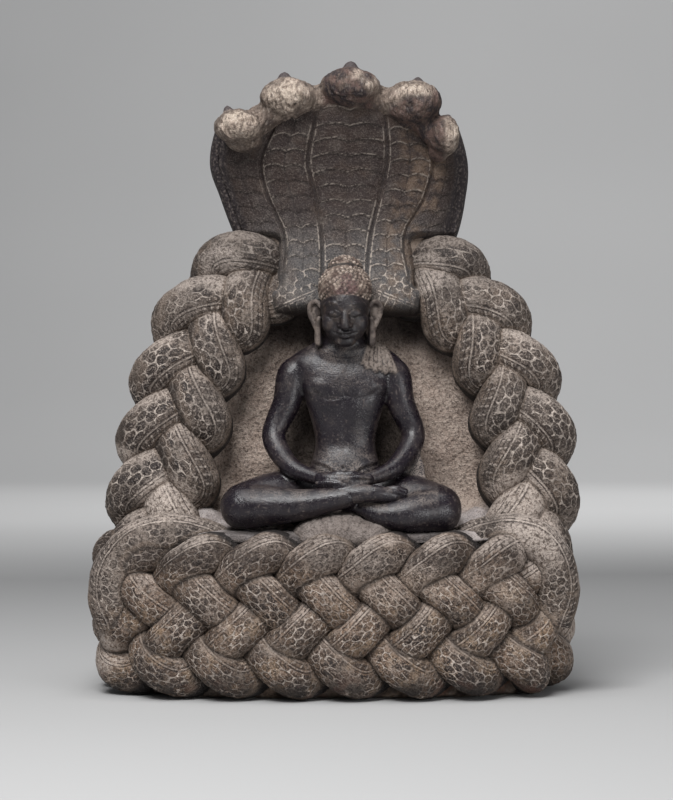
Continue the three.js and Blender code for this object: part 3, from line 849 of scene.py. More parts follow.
def strand_mesh(name, plait, strand, around, scale, swell, sunk):
    """around gives the places round the strand, scale is the width of its scales, and sunk the
    height that dirt and painted shade lie under."""
    rings = ring_places(plait, strand)
    others = plait.neighbours(strand)

    def place(b, ring):
        rows, row = np.unique(ring, return_inverse=True)
        s = np.clip(rows, 0, plait.length)
        middle, first, second = plait.frame(s, strand)
        run = distances(middle)
        angle = b / plait.radius + math.pi / 2
        side, front = np.cos(angle), np.sin(angle)
        fuller = (abs(side) ** FULLNESS + abs(front) ** FULLNESS) ** (-1 / FULLNESS)
        outwards = first[row] * side[:, None] + second[row] * front[:, None]
        over = plait.over(s, strand)[row]
        surface = middle[row] + outwards * (plait.radius * fuller * (1 + swell * over))[:, None]
        rubbed = smooth((outwards[:, 2] - 0.35) / 0.4) * smooth(over + 0.4)
        worn = np.maximum(worn_at(surface), 0.85 * rubbed * smooth(grain(surface, 24, 32) + 0.9))
        relief, pattern = strand_relief(run[row], plait.band * b, surface, worn, scale)
        shape = 1.4 * grain(surface, 32, 21) + 0.6 * grain(surface, 9, 22)
        rough = 0.35 * grain(surface, 3.2, 23)
        points = surface + outwards * (relief + shape + rough)[:, None]
        closed = (ring < 0) | (ring > plait.length)
        points[closed] = middle[row][closed]
        points[:, 2] = np.maximum(points[:, 2], 0)
        base, _, out = plait.base(s)
        raised = np.einsum("ij,ij->i", points - base[row], out[row])
        squares = (points**2).sum(1)[:, None] + (others**2).sum(1)[None] - 2 * points @ others.T
        gap = np.sqrt(np.maximum(squares.min(1), 0)) - plait.radius
        # Darker where strands touch and where this one sinks below its neighbours: dirt and painted shade.
        touching = 0.7 * (1 - smooth(gap / 5))
        crevice = np.maximum(touching, 1 - smooth((raised - sunk) / DARKENING_FADES))
        stained = smooth((-outwards[:, 0] - 0.3) / 0.5) * smooth((-60 - surface[:, 0]) / 30)
        stained = stained * smooth((surface[:, 2] - STAIN_HEIGHT) / 50)
        stained = stained * smooth(grain(surface, 16, 33) + 0.75) * (1 - worn)
        crevice = np.maximum(crevice, 0.72 * stained)
        return points, pattern, {"crevice": crevice, "worn": worn}

    return bend_grid(name, around, rings, place)


def places_around(radius, shown):
    """Corners round a strand: close together on the belly band, far apart behind."""
    turn = math.pi * radius
    return spaced((-turn, -shown, 7), (-shown, 7, 1.7), (7, 24, 1.1), (24, shown, 2.4), (shown, turn, 7))


SEAT_AROUND = places_around(SEAT_PLAIT.radius, 36)
for strand in range(SEAT_PLAIT.strands):
    mesh = strand_mesh(
        f"seat_strand_{strand + 1}", SEAT_PLAIT, strand, SEAT_AROUND, SEAT_SCALE, SEAT_SWELL, SEAT_SUNK
    )
    keep_piece(mesh, SEAT_STONE)

for side, plait in ARCH_PLAITS.items():
    around = np.sort(plait.band * places_around(plait.radius, 37))
    for strand in range(plait.strands):
        mesh = strand_mesh(
            f"{side}_arch_strand_{strand + 1}", plait, strand, around, ARCH_SCALE, ARCH_SWELL, ARCH_SUNK
        )
        keep_piece(mesh, ARCH_STONE)

# The seat's places serve for both coils. On the thinner right one they overlap at the back.
for side, coil in COILS.items():
    around = np.sort(coil.band * SEAT_AROUND)
    mesh = strand_mesh(f"{side}_coil", coil, 0, around, ARCH_SCALE, 0, COIL_SUNK)
    keep_piece(mesh, ARCH_STONE)

# %% [markdown]
# ## Shapes fused into one skin
# The block, the heads and the figure are rounder forms without a simple grid. They start as
# overlapping closed shapes, such as eggs and limbs, which a voxel remesh fuses into one skin.
# The skin is relaxed a little, so that the joins run into each other as carved stone does, and
# then lines and pits are cut into it.


# %% Limbs, eggs and prisms
CAP = 5  # rings in a limb's rounded end


def limb_mesh(stops, square, sides=24):
    """A limb through stops of x, y, z, half width and half depth."""
    stops = spline(stops)
    middle, half = stops[:, :3], stops[:, 3:]
    along = unit(np.gradient(middle, axis=0))
    across = unit(np.cross(np.array([0, -1.0, 0]), along))
    front = np.cross(along, across)
    last = len(stops) - 1

    def place(angle, index):
        row = np.clip(index, 0, last).astype(int)
        past = np.maximum(np.maximum(-index, index - last), 0) / CAP * math.pi / 2
        side, fore = np.cos(angle), np.sin(angle)
        side = np.sign(side) * abs(side) ** square * np.cos(past) * half[row, 0]
        fore = np.sign(fore) * abs(fore) ** square * np.cos(past) * half[row, 1]
        push = np.sin(past) * half[row].min(1) * np.where(index < 0, -1, 1)
        points = middle[row] + across[row] * side[:, None] + front[row] * fore[:, None]
        return points + along[row] * push[:, None], np.zeros((len(row), 2)), {}

    turn = np.linspace(0, 2 * math.pi, sides + 1)
    return bend_grid("limb", turn, np.arange(-CAP, last + CAP + 1), place)


class Clay:
    """Closed shapes pressed together, to be fused. A limb's stops may leave out the half depth,
    which is then the half width times flat."""

    def __init__(self):
        self.shape = bmesh.new()

    def egg(self, middle, half, turn=0):
        place = Matrix.Translation(middle) @ Matrix.Rotation(math.radians(turn), 4, "Y")
        place = Matrix.Scale(MM, 4) @ place @ Matrix.Diagonal((*half, 1))
        bmesh.ops.create_uvsphere(self.shape, u_segments=32, v_segments=20, radius=1, matrix=place)

    def limb(self, stops, flat=1, square=1):
        stops = [(*stop, stop[3] * flat) if len(stop) == 4 else stop for stop in stops]
        mesh = limb_mesh(stops, square)
        self.shape.from_mesh(mesh)
        bpy.data.meshes.remove(mesh)

    def prism(self, outline, low, high, rounding, upright=False):
        """An outline in X and Y raised from low to high. An upright one stands on its edge."""
        shape = bmesh.new()
        ring = [shape.verts.new((x * MM, y * MM, low * MM)) for x, y in outline]
        edges = [shape.edges.new((ring[i - 1], ring[i])) for i in range(len(ring))]
        raised = bmesh.ops.extrude_edge_only(shape, edges=edges)["geom"]
        top = [part for part in raised if isinstance(part, bmesh.types.BMVert)]
        bmesh.ops.translate(shape, verts=top, vec=(0, 0, (high - low) * MM))
        bmesh.ops.holes_fill(shape, edges=shape.edges, sides=0)
        flat = [face for face in shape.faces if len(face.verts) > 4]
        rim = {edge for face in flat for edge in face.edges}
        if rounding:
            bmesh.ops.bevel(
                shape,
                geom=list(rim),
                offset=rounding * MM,
                segments=4,
                profile=0.5,
                affect="EDGES",
                material=-1,
            )
        if upright:
            bmesh.ops.rotate(shape, verts=shape.verts, matrix=Matrix.Rotation(math.pi / 2, 3, "X"))
        bmesh.ops.recalc_face_normals(shape, faces=shape.faces)
        mesh = as_mesh(shape, "prism")
        self.shape.from_mesh(mesh)
        bpy.data.meshes.remove(mesh)

    def fuse(self, name, size, passes):
        """One skin round all the shapes, from voxels of that size, relaxed."""
        mesh = as_mesh(self.shape, name)
        lump = bpy.data.objects.new(name, mesh)
        bpy.context.scene.collection.objects.link(lump)
        remesh = lump.modifiers.new("fuse", "REMESH")
        remesh.mode = "VOXEL"
        remesh.voxel_size = size * MM
        seen = lump.evaluated_get(bpy.context.evaluated_depsgraph_get())
        fused = bpy.data.meshes.new_from_object(seen)
        bpy.data.objects.remove(lump)
        bpy.data.meshes.remove(mesh)
        fused.name = name
        move_corners(fused, relaxed(fused, corners_of(fused), passes))
        return fused


def relaxed(mesh, points, times):
    """The points after each has moved half way to the middle of its neighbours, many times."""
    edges = np.empty(len(mesh.edges) * 2, np.int32)
    mesh.edges.foreach_get("vertices", edges)
    one, two = edges.reshape(-1, 2).T
    many = len(points)
    links = np.bincount(one, minlength=many) + np.bincount(two, minlength=many)
    for _ in range(times):
        around = [
            np.bincount(one, points[two, axis], many) + np.bincount(two, points[one, axis], many)
            for axis in range(3)
        ]
        points = mix(points, np.stack(around, axis=1) / links[:, None], 0.5)
    return points


def hollows(mesh, times, depth):
    """1 in the hollows of a skin and 0 on its bulges. depth, in millimetres, is a deep hollow."""
    points = corners_of(mesh)
    lift = ((relaxed(mesh, points, times) - points) * normals_of(mesh)).sum(1)
    return smooth(0.5 + lift / MM / depth / 2)


def carve(mesh, heights):
    """Moves each corner along its outward direction by its height in millimetres."""
    move_corners(mesh, corners_of(mesh) + normals_of(mesh) * (heights * MM)[:, None])


# %% [markdown]
# ## The block
# Behind the plait the stone is a plain block: the seat, and a slab with a rounded edge that
# carries the arch. Nobody was meant to see its back, so it is only dressed flat with a chisel.
# Two boxy limbs follow the arch, a panel closes the niche, and all is fused with the seat.

# %% The dressed stone of the block
BACK, SLAB_FRONT, NICHE_WALL = 84, 2, 22
BLOCK_INSET, BLOCK_TOP, BLOCK_ROUNDING = 33, SEAT_HEIGHT - 6, 12
ARCH_COVER = 12  # the slab's edge lies this far inside the strands' outer side
CHALKY = (0.31, 0.26, 0.205)


def dressed_stone():
    paint = Paint("dressed_stone")
    broad, patch = paint.noise(90, 3, 1), paint.noise(16, 4, 2)
    speck, grit = paint.noise(3, 3, 3), paint.noise(1, 2, 4)
    chisel = paint.noise(7, 2, 6, (1, 1, 0.3))
    crevice = paint.mark("crevice")
    paint.base(broad.rise(0.35, 0.65), TAN, GREY)
    paint.coat(patch.rise(0.45, 0.7) * 0.5, CHALKY)
    paint.coat(speck.rise(0.5, 0.72) * 0.45, DIRT)
    paint.coat(chisel.rise(0.5, 0.7) * 0.3, PALE)
    ground = paint.axis("Z").rise(40, 4)
    paint.coat(ground * patch.rise(0.36, 0.56) * 0.8, BLACK)
    paint.coat(ground * paint.noise(26, 3, 8).rise(0.56, 0.66) * 0.5, RUST)
    # Darker in the block's hollows: painted shade and dirt.
    paint.coat(crevice * 0.5, DIRT)
    relief = (grit - 0.5) * 0.6 + (speck - 0.5) * 1.2 + (chisel - 0.5) * 1.6
    return paint.done(0.8 + speck * 0.1, relief, 0.3)


# %% Fuse the block
def block():
    clay = Clay()
    x, y = plan_point(np.linspace(0, math.pi, 49), BLOCK_INSET)
    outline = [(x[0], SEAT_BACK), *zip(x, y), (x[-1], SEAT_BACK)]
    clay.prism(outline, 0, BLOCK_TOP, BLOCK_ROUNDING)
    middle, half = (BACK + SLAB_FRONT) / 2, (BACK - SLAB_FRONT) / 2
    sides = []
    for shape in (RIGHT, LEFT):
        line = arch_line(shape, np.linspace(arch_foot(shape) * 0.6, 0.985, 14))
        wide = shape["reach"] + ARCH_PLAITS["left"].radius - ARCH_COVER
        clay.limb([(px, middle, pz, wide, half) for px, _, pz in line], square=0.45)
        sides.append([(px, pz) for px, _, pz in line])
    panel = sides[0] + sides[1][::-1]
    clay.prism(panel, -BACK, -NICHE_WALL - 3, 0, upright=True)
    mesh = clay.fuse("block", size=5.2, passes=2)
    points = corners_of(mesh) / MM
    carve(mesh, 1.3 * grain(points, 30, 41) + 0.8 * grain(points, 11, 42))
    points = corners_of(mesh)
    points[:, 1] = np.minimum(points[:, 1], SEAT_BACK * MM)
    points[:, 2] = np.maximum(points[:, 2], 0)
    move_corners(mesh, points)
    add_marks(mesh, crevice=hollows(mesh, times=6, depth=1.5))
    keep_piece(mesh, dressed_stone())


block()

# %% [markdown]
# ## The pecked ground
# The niche wall and the top of the seat are one sheet of ground that climbs behind the figure.
# The wall was pecked with a point and left rough. The ledge in front of the knees is smoother,
# and swells a little between each knee and the arch. A grid follows the profile from the front
# of the seat up the wall, and its back lies in the block.

# %% Stone of the ground
GROUND_PROFILE = [  # back and up
    (-95, 138),
    (-91, 147),
    (-82, 152.5),
    (-62, 156),
    (-42, 158),
    (-20, 163),
    (2, 171),
    (17, 186),
    (21.5, 208),
    (22, 300),
    (22, 412),
]
GROUND_ENDS = (0, -90, 137), (8, 26, 414)  # its lower and upper edges close on these points
LEDGE_PALE, LEDGE_GREY = (0.4, 0.36, 0.35), (0.27, 0.235, 0.225)
WALL_PALE, WALL_BROWN = (0.44, 0.355, 0.3), (0.3, 0.23, 0.19)
PITTED = (0.05, 0.034, 0.028)
WALL_PATCH = (0.085, 0.06, 0.05)
WALL_TOP = (0.022, 0.015, 0.014)  # in the hood's shade


def pecked_stone():
    paint = Paint("pecked_stone")
    peck = paint.mark("pecked")
    crevice = paint.mark("crevice")
    broad, patch = paint.noise(48, 3, 1), paint.noise(13, 4, 2)
    speck, grit = paint.noise(3.0, 4, 3), paint.noise(1.2, 3, 4)
    smooth_ground = paint.blend(patch.rise(0.35, 0.7), LEDGE_PALE, LEDGE_GREY)
    rough_ground = paint.blend(patch.rise(0.3, 0.7), WALL_PALE, WALL_BROWN)
    paint.base(peck, smooth_ground, rough_ground)
    paint.coat(speck.rise(0.5, 0.66) * (0.38 + peck * 0.22), PITTED)
    paint.coat(grit.rise(0.5, 0.64) * 0.4, PALE)
    paint.coat(grit.rise(0.46, 0.34) * 0.4, DIRT)
    paint.coat(broad.rise(0.5, 0.75) * peck * 0.35, WALL_PATCH)
    paint.coat(paint.axis("Z").rise(312, 350) * 0.9, WALL_TOP)
    # Painted shade: beside the strands, behind the figure, on the ledge under the legs, and a little on
    # the swellings.
    paint.coat(crevice * 0.8, BLACK)
    relief = (grit - 0.5) * 1.6 + (speck - 0.5) * (1.2 + peck * 3.4)
    return paint.done(0.82 + speck * 0.1, relief, 0.3)


PECKED = pecked_stone()
print("material", PECKED.name)

# %% The sheet of ground
FILLET = 11  # the wall swells out this far to meet the strands
LEDGE = {-1: 150, 1: 166}  # the ledge's half width on each side
LEDGE_INSET, WALL_INSET = 26, 22  # from the seat's plan, and from the arch's middle line
HEAPS = [(-124, -14, 28, 15), (140, -14, 28, 13)]  # across, back, width and height of a swelling


def ground():
    profile = spline(GROUND_PROFILE, 10)
    far = distances(profile)
    sides = {shape["side"]: arch_line(shape, np.linspace(0, 0.995, 400)) for shape in (LEFT, RIGHT)}
    under = 9  # the back of the sheet lies this far inside the block

    def limit(side, y, z):
        x, plan_y = plan_point(np.linspace(0, math.pi / 2, 400), LEDGE_INSET)
        on_seat = np.minimum(np.interp(-y, -plan_y, x), LEDGE[side])
        line = sides[side]
        on_wall = abs(np.interp(z, line[:, 2], line[:, 0])) - WALL_INSET
        return side * mix(on_seat, np.maximum(on_wall, 6), smooth((z - 166) / 26))

    def place(u, v):
        s = np.clip(v, 0, far[-1])
        y, z = along_line(s, far, profile).T
        across = np.where(u <= 1, u, 2 - u)
        left, right = limit(-1, y, z), limit(1, y, z)
        x = mix(left, right, across)
        flat = np.stack([x, y, z], axis=1)
        peck = smooth((z - 162) / 16)
        relief = peck * (1.3 * grain(flat, 15, 51) + 1.1 * grain(flat, 6, 52) + 0.8 * grain(flat, 3.4, 53))
        relief += (1 - peck) * (0.9 * grain(flat, 22, 54) + 0.5 * grain(flat, 6, 55))
        span = np.minimum(x - left, right - x)
        relief += FILLET * peck * (1 - smooth((span - 14) / 22)) * smooth((345 - z) / 40)
        relief -= 7 * (1 - peck) * (1 - smooth((span - 3) / 30))
        dusty = np.zeros(len(flat))
        for heap_x, heap_y, wide, high in HEAPS:
            away = np.hypot(x - heap_x, y - heap_y) / wide
            heap = smooth((176 - z) / 14) * (1 - smooth(away))
            relief += (high + 3 * grain(flat, 8, 60)) * heap
            dusty = np.maximum(dusty, 0.12 * heap)
        run = unit(along_line(s + 2, far, profile) - along_line(s - 2, far, profile))
        outwards = np.stack([0 * x, -run[:, 1], run[:, 0]], axis=1)
        depth = np.where(u <= 1, relief, -under)
        edge = np.where((u == 0) | (u == 1), -under / 2, depth)
        points = flat + outwards * edge[:, None]
        points[v < 0], points[v > far[-1]] = GROUND_ENDS
        # Painted shade beside the strands, more of it higher up, deepest behind the figure between its
        # arms and trunk, and on the ledge's front under the legs. The swellings are made a little darker.
        crevice = (1 - smooth((span - 8) / 26)) * (0.1 + 0.7 * smooth((z - 230) / 90))
        behind = smooth((68 - abs(x - 11)) / 14) * smooth((z - 200) / 20) * smooth((325 - z) / 40)
        crevice = np.maximum(crevice, 0.9 * behind)
        front = smooth((-30 - y) / 20) * smooth((130 - abs(x - 6)) / 30)
        front = front * (0.8 + 0.35 * grain(flat, 7, 59))
        crevice = np.clip(np.maximum(np.maximum(crevice, front), dusty), 0, 1)
        return points, np.stack([x, s], axis=1), {"pecked": peck, "crevice": crevice}

    across = np.concatenate([np.linspace(0, 1, 168), 1 + np.arange(1, 11) / 10])
    along = np.linspace(0, far[-1], round(far[-1] / 2.1))
    along = np.concatenate([[-PAST], along, [far[-1] + PAST]])
    keep_piece(bend_grid("ground", across, along, place), PECKED)


ground()

# %% [markdown]
# Under the crossed shins the carver left a low swelling of stone, with a few lines that fan out
# over its front like the spread end of a cloth.

# %% The swelling under the shins
MOUND = (8, -60, 155)
FAN_HEIGHT, FAN_LINES = 128, 4.5  # the lines fan out from this height, so many in a radian


def mound():
    clay = Clay()
    clay.egg(MOUND, (36, 32, 20))
    clay.egg((MOUND[0] - 22, -64, 152), (24, 28, 16))
    clay.egg((MOUND[0] + 24, -66, 152), (23, 27, 16))
    mesh = clay.fuse("mound", size=1.6, passes=6)
    points = corners_of(mesh) / MM
    fan = np.arctan2(points[:, 0] - MOUND[0], points[:, 2] - FAN_HEIGHT) * FAN_LINES
    fan = fan + 0.3 * grain(points, 25, 58)
    rays = line_at(fan, np.round(fan), 0.09) * smooth((points[:, 2] - 152) / 6)
    carve(mesh, 2.0 * grain(points, 17, 56) + 0.9 * grain(points, 6, 57) - 0.6 * rays)
    # Painted shade: the whole swelling lies darker, as in the shins' shadow, and its hollows darker still.
    # The fan lines are darker too.
    dirt = np.maximum(0.6 + 0.2 * rays, hollows(mesh, times=8, depth=1.2) * 0.9)
    add_marks(mesh, pecked=np.full(len(points), 0.5), crevice=dirt)
    keep_piece(mesh, PECKED)


mound()

# %% [markdown]
# ## The hood
# Five necks lie side by side as one sheet of stone and lean forward at the top. Each neck is
# bordered by a raised line, split by a groove along its middle and crossed by arched belly
# scales. A ring of corners runs across the front, round the edge and back behind, and the rings
# climb from the foot to the heads.

# %% Sizes of the hood
HOOD_HEIGHTS = np.array([350, 390, 436, 475, 508, 545, 580])
HOOD_SEAMS = np.array(
    [  # the two edges and four seams across, at each height
        [-64, -50, -12, 32, 72, 88],
        [-72, -49, -10, 32, 74, 98],
        [-95, -47, -11, 36, 69, 120],
        [-110, -63, -17, 45, 89, 129],
        [-120, -69, -24, 52, 96, 131],
        [-112, -54, -17, 50, 88, 120],
        [-92, -46, -10, 42, 78, 100],
    ]
)
HOOD_FOOT = 359
NECK_TOP = [546, 570, 584, 568, 540]
HOOD_LOW, HOOD_WAIST, HOOD_TOP = -36, -12, -42  # the front's place back: it bends in and leans out
HOOD_BACK, HOOD_BACK_TOP = 58, 24
SCUTE_STEP = 14.4  # spacing of the scales across a neck
BEHIND_ARCH = 26  # the outer necks step back this far to pass behind the arch
BORDER = 2.8  # the raised line along a seam lies this far inside it
FOOT_BANDS = [  # the belly bands turn aside at the foot: start and end of each, across and up
    ((-16, 384), (-58, 366)),
    ((40, 385), (84, 367)),
]
FOOT_SCALE = 8.4


def seam_place(line, z):
    """Where a line up the hood lies across at a height. Seams are the whole numbers."""
    fine = spline(np.column_stack([HOOD_HEIGHTS, HOOD_SEAMS]), 12)
    seams = np.stack([np.interp(z, fine[:, 0], fine[:, k + 1]) for k in range(6)], axis=1)
    neck = np.minimum(line.astype(int), 4)
    rows = np.arange(len(line))
    return mix(seams[rows, neck], seams[rows, neck + 1], line - neck), seams


def hood_front(share):
    low = mix(HOOD_LOW, HOOD_WAIST, smooth(share / 0.4))
    return np.where(share < 0.5, low, mix(HOOD_WAIST, HOOD_TOP, smooth((share - 0.5) / 0.5)))


def hood_place(turn, rise):
    """turn runs from 0 to 5 over the front, to 6 round the edge, to 7 behind and to 8 back."""
    line = np.interp(turn, [0, 5, 6, 7, 8], [0, 5, 5, 0, 0])
    tops = spline([[i, top] for i, top in enumerate(NECK_TOP)], 12)
    highest = np.interp(line - 0.5, tops[:, 0], tops[:, 1])
    z = mix(HOOD_FOOT, highest, rise)
    x, seams = seam_place(line, z)
    neck = np.minimum(line.astype(int), 4)
    within = line - neck
    width = seams[np.arange(len(neck)), neck + 1] - seams[np.arange(len(neck)), neck]
    share = (z - HOOD_FOOT) / (max(NECK_TOP) - HOOD_FOOT)
    outer = abs(2 * line / 5 - 1)
    side = abs(2 * within - 1)
    front = hood_front(share) + 6 * outer**2 + 3 * side**6 + 12 * outer**8
    beside_arch = smooth((442 - z) / 12) * smooth((z - 378) / 14)
    front += BEHIND_ARCH * smooth((outer - 0.55) / 0.2) * beside_arch
    back = mix(HOOD_BACK, HOOD_BACK_TOP, smooth((share - 0.55) / 0.45)) - 16 * outer**4
    end = np.minimum(1, np.minimum(rise, 1 - rise) / 0.07)
    half = (back - front) / 2 * np.sqrt(1 - (1 - end) ** 2)
    rounding = np.minimum(9, half * 0.6)
    middle = (front + back) / 2
    x = x + np.where(line < 2.5, 1, -1) * rounding * smooth((outer - 0.6) / 0.4)
    round_edge = np.sin(math.pi * (turn % 1)) * ((turn > 5) & (turn < 6) | (turn > 7))
    x = x + np.where(line < 2.5, -1, 1) * rounding * round_edge
    fore = np.where(turn <= 5, -1.0, np.where(turn < 6, -np.cos(math.pi * (turn - 5)), 1.0))
    fore = np.where(turn > 7, np.cos(math.pi * (turn - 7)), fore)
    return np.stack([x, middle + fore * half, z], axis=1), neck, side, width


# %% The lines at the hood's foot
def foot_lines(x, z):
    """Raised lines where a belly band turns aside at the foot, and 1 where they take over."""
    lines, here = 0, 0
    for start, end in FOOT_BANDS:
        start = np.array(start)
        run = unit(np.array(end) - start)
        along = (x - start[0]) * run[0] + (z - start[1]) * run[1]
        above = abs(run[0]) * (z - start[1]) - np.sign(run[0]) * run[1] * (x - start[0])
        inside, _ = inside_scale(along / FOOT_SCALE, (above - 4) / FOOT_SCALE)
        net = line_at(inside, 0, 0.08) * smooth((above - 2) / 2)
        cross = line_at(along / 7.5 - np.round(along / 7.5), 0, 0.09) * (above < -2.4)
        band = np.maximum(line_at(above, 0, 0.8), line_at(above, -2.8, 0.7))
        on = smooth((along + 2) / 6) * smooth((26 - above) / 8)
        lines = mix(lines, np.maximum(np.maximum(net, cross), band), on)
        here = np.maximum(here, on)
    return lines, here


# %% The whole hood
def hood():
    def place(turn, rise):
        points, neck, side, width = hood_place(turn, rise)
        x, _, z = points.T
        flat = points * np.array([1, 0, 1])
        is_front = turn <= 5
        wave = 0.9 * grain(flat, 15, 61)
        arch = 3.4 * (1 - (2 * side - 1) ** 2) + 2.5 * (1 - side**2)
        scute = (z + wave - arch) / SCUTE_STEP + 0.31 * neck
        to_line = (scute - np.round(scute)) * SCUTE_STEP
        edge = (1 - side) * width / 2
        lines = line_at(to_line, 0, 0.8) * smooth((edge - BORDER) / 0.8)
        lines = np.maximum(lines, line_at(edge, BORDER, 0.8))
        lines = lines * np.where((neck == 0) | (neck == 4), 0.55, 1)
        groove = np.maximum(line_at(side * width / 2 + 0.3 * wave, 0, 0.8), line_at(edge, 0, 0.8))
        turned, here = foot_lines(x + wave, z + wave)
        lines, groove = mix(lines, turned, here), groove * (1 - here)
        kept = 0.3 + 0.7 * smooth(grain(flat, 22, 62) + 0.75)
        rim = smooth((abs(2 * np.minimum(turn, 5) / 5 - 1) - 0.9) / 0.07) * smooth((z - 400) / 30)
        lines = lines * kept * (1 - rim)
        rough = 0.7 * grain(points, 26, 63) + 0.3 * grain(points, 7, 64)
        rough = rough + (0.16 + 0.7 * rim) * grain(points, 2.8, 65) + 0.9 * rim * grain(points, 6, 66)
        outwards = np.stack([0 * x, np.where(is_front, -1.0, 1.0), 0 * x], axis=1)
        plate = smooth((edge - BORDER) / 1.5) * (1 - here) * (1 - rim) * (1 - scute + np.floor(scute))
        relief = is_front * (0.75 * lines - 0.8 * groove + 1.1 * plate) + rough
        points = points + outwards * relief[:, None]
        # Painted shadow just below each scale's overhanging lower edge.
        under = smooth((scute - np.floor(scute) - 0.72) / 0.28) * smooth((edge - BORDER) / 1.5)
        marks = {
            "line": lines * is_front,
            "groove": groove * is_front,
            "rim": np.maximum(rim, ~is_front),
            "under": under * (1 - here) * is_front * (1 - rim),
            "back": smooth((turn - 5.6) / 0.4) * smooth((7.4 - turn) / 0.4),
            "brown": smooth((turn - 3.1) / 0.5) * smooth((4.7 - turn) / 0.4),
        }
        return points, np.stack([side, scute], axis=1), marks

    edge, behind = np.arange(1, 9) / 8, np.arange(1, 27) / 26
    turns = np.concatenate([np.linspace(0, 5, 236), 5 + edge, 6 + behind, 7 + edge])
    v = np.linspace(0, 1, 224)
    rises = mix(v, (1 - np.cos(math.pi * v)) / 2, 0.6)
    keep_piece(bend_grid("hood", turns, rises, place), hood_stone())


# %% Its stone
HOOD_BROWN, HOOD_DARK = (0.03, 0.0185, 0.015), (0.0165, 0.011, 0.0115)
OLIVE_GREY = (0.074, 0.07, 0.07)  # towards the foot
WARM = (0.08, 0.05, 0.034)
BLOOM = (0.19, 0.165, 0.145)  # a pale bloom in patches
NECK_BROWN = (0.13, 0.085, 0.056)  # on the fourth and fifth necks
SHADOW_UNDER_SCALE = (0.013, 0.009, 0.008)  # painted shadow under each scale's lower edge
HOOD_SPECK = (0.024, 0.017, 0.016)
HOOD_GRIT, HOOD_PORES = (0.3, 0.26, 0.23), (0.016, 0.011, 0.01)
RAISED, SUNKEN = (0.42, 0.36, 0.31), (0.014, 0.01, 0.01)  # its lines and its grooves
# painted shade on the hood foot's underside
FOOT_SHADE = (0.02, 0.014, 0.012)
RIM_DARK, RIM_PALE = (0.022, 0.017, 0.019), (0.17, 0.14, 0.125)
BACK_DARK, BACK_PALE = (0.1, 0.078, 0.064), (0.2, 0.165, 0.138)
BROKEN_TOP = (0.26, 0.2, 0.16)


def hood_stone():
    """Dark and brown under the heads, olive grey towards the foot, with pale raised lines."""
    paint = Paint("hood_stone")
    line, groove, rim = paint.mark("line"), paint.mark("groove"), paint.mark("rim")
    under, brown, back = paint.mark("under"), paint.mark("brown"), paint.mark("back")
    broad, patch = paint.noise(36, 3, 1), paint.noise(12, 4, 2)
    speck, grit = paint.noise(2.6, 4, 3), paint.noise(1.1, 3, 4)
    height = paint.axis("Z")
    low = height.rise(475, 395)
    paint.base(broad.rise(0.38, 0.62), HOOD_BROWN, HOOD_DARK)
    paint.coat(low, OLIVE_GREY)
    paint.coat(broad.rise(0.48, 0.66) * 0.4, WARM)
    paint.coat(patch.rise(0.5, 0.7) * (0.15 + low * 0.35), BLOOM)
    paint.coat(brown * patch.rise(0.4, 0.6) * 0.55, NECK_BROWN)
    # Painted shadow under each scale's lower edge.
    paint.coat(under * patch.rise(0.25, 0.5) * 0.65, SHADOW_UNDER_SCALE)
    paint.coat(speck.rise(0.5, 0.7) * 0.5, HOOD_SPECK)
    paint.coat(grit.rise(0.5, 0.64) * (0.15 + low * 0.2), HOOD_GRIT)
    paint.coat(grit.rise(0.46, 0.34) * 0.5, HOOD_PORES)
    raised = line.rise(0.25, 0.7) * speck.rise(0.6, 0.46) * (0.45 + low * 0.55) * patch.rise(0.3, 0.45)
    paint.coat(raised * 0.8, RAISED)
    paint.coat(groove.rise(0.3, 0.9) * speck.rise(0.3, 0.5) * 0.55, SUNKEN)
    # Painted shade: the foot's rounded underside is dark.
    paint.coat(height.rise(371, 361), FOOT_SHADE)
    rough_rim = paint.blend(speck.rise(0.48, 0.7) * 0.7, RIM_DARK, RIM_PALE)
    paint.coat(rim * 0.9, rough_rim)
    plain = paint.blend(patch.rise(0.4, 0.65) * 0.6, BACK_DARK, BACK_PALE)
    plain = paint.blend(speck.rise(0.5, 0.7) * 0.5, plain, DIRT)
    paint.coat(back, plain)
    top = height.rise(548, 575) * patch.rise(0.35, 0.6)
    paint.coat(top * 0.6, BROKEN_TOP)
    relief = (grit - 0.5) * 1.3 + (speck - 0.5) * 1.6 + (patch - 0.5) * 1.4
    return paint.done(0.56 + speck * 0.2, relief, 0.3)


hood()

# %% [markdown]
# ## The worn heads
# Five heads once crowned the hood. They have weathered to rough lumps, each with the stub of a
# knob, and pale broken stone joins them. They are eggs fused with short limbs between them, and
# pits of several sizes are eaten into the skin.

# %% Heads and their stone
HEAD_BACK = -34
HEADS = [  # across, up, half sizes, and the knob's place aside and radius
    (-89, 539, (24.5, 25, 17), (-11, 4.5)),
    (-42, 567, (28, 27, 18.5), (-4, 6.5)),
    (17, 576, (30, 30, 19), (0, 7.5)),
    (76, 562, (28, 28, 21), (5, 5)),
    (107, 531, (14, 24, 19), (3, 3)),
]
BROKEN_PALE, BROKEN_BROWN = (0.43, 0.355, 0.29), (0.31, 0.243, 0.2)
THROAT_PALE, THROAT_DARK = (0.13, 0.095, 0.075), (0.055, 0.039, 0.033)
REDDISH, REDDISH_DARK = (0.1, 0.06, 0.05), (0.02, 0.013, 0.015)
STREAK_PALE, STREAK_DARK = (0.33, 0.26, 0.22), (0.07, 0.048, 0.037)
BRIGHT = (0.6, 0.52, 0.45)  # fresh breaks
KNOB_DARK = (0.05, 0.038, 0.038)


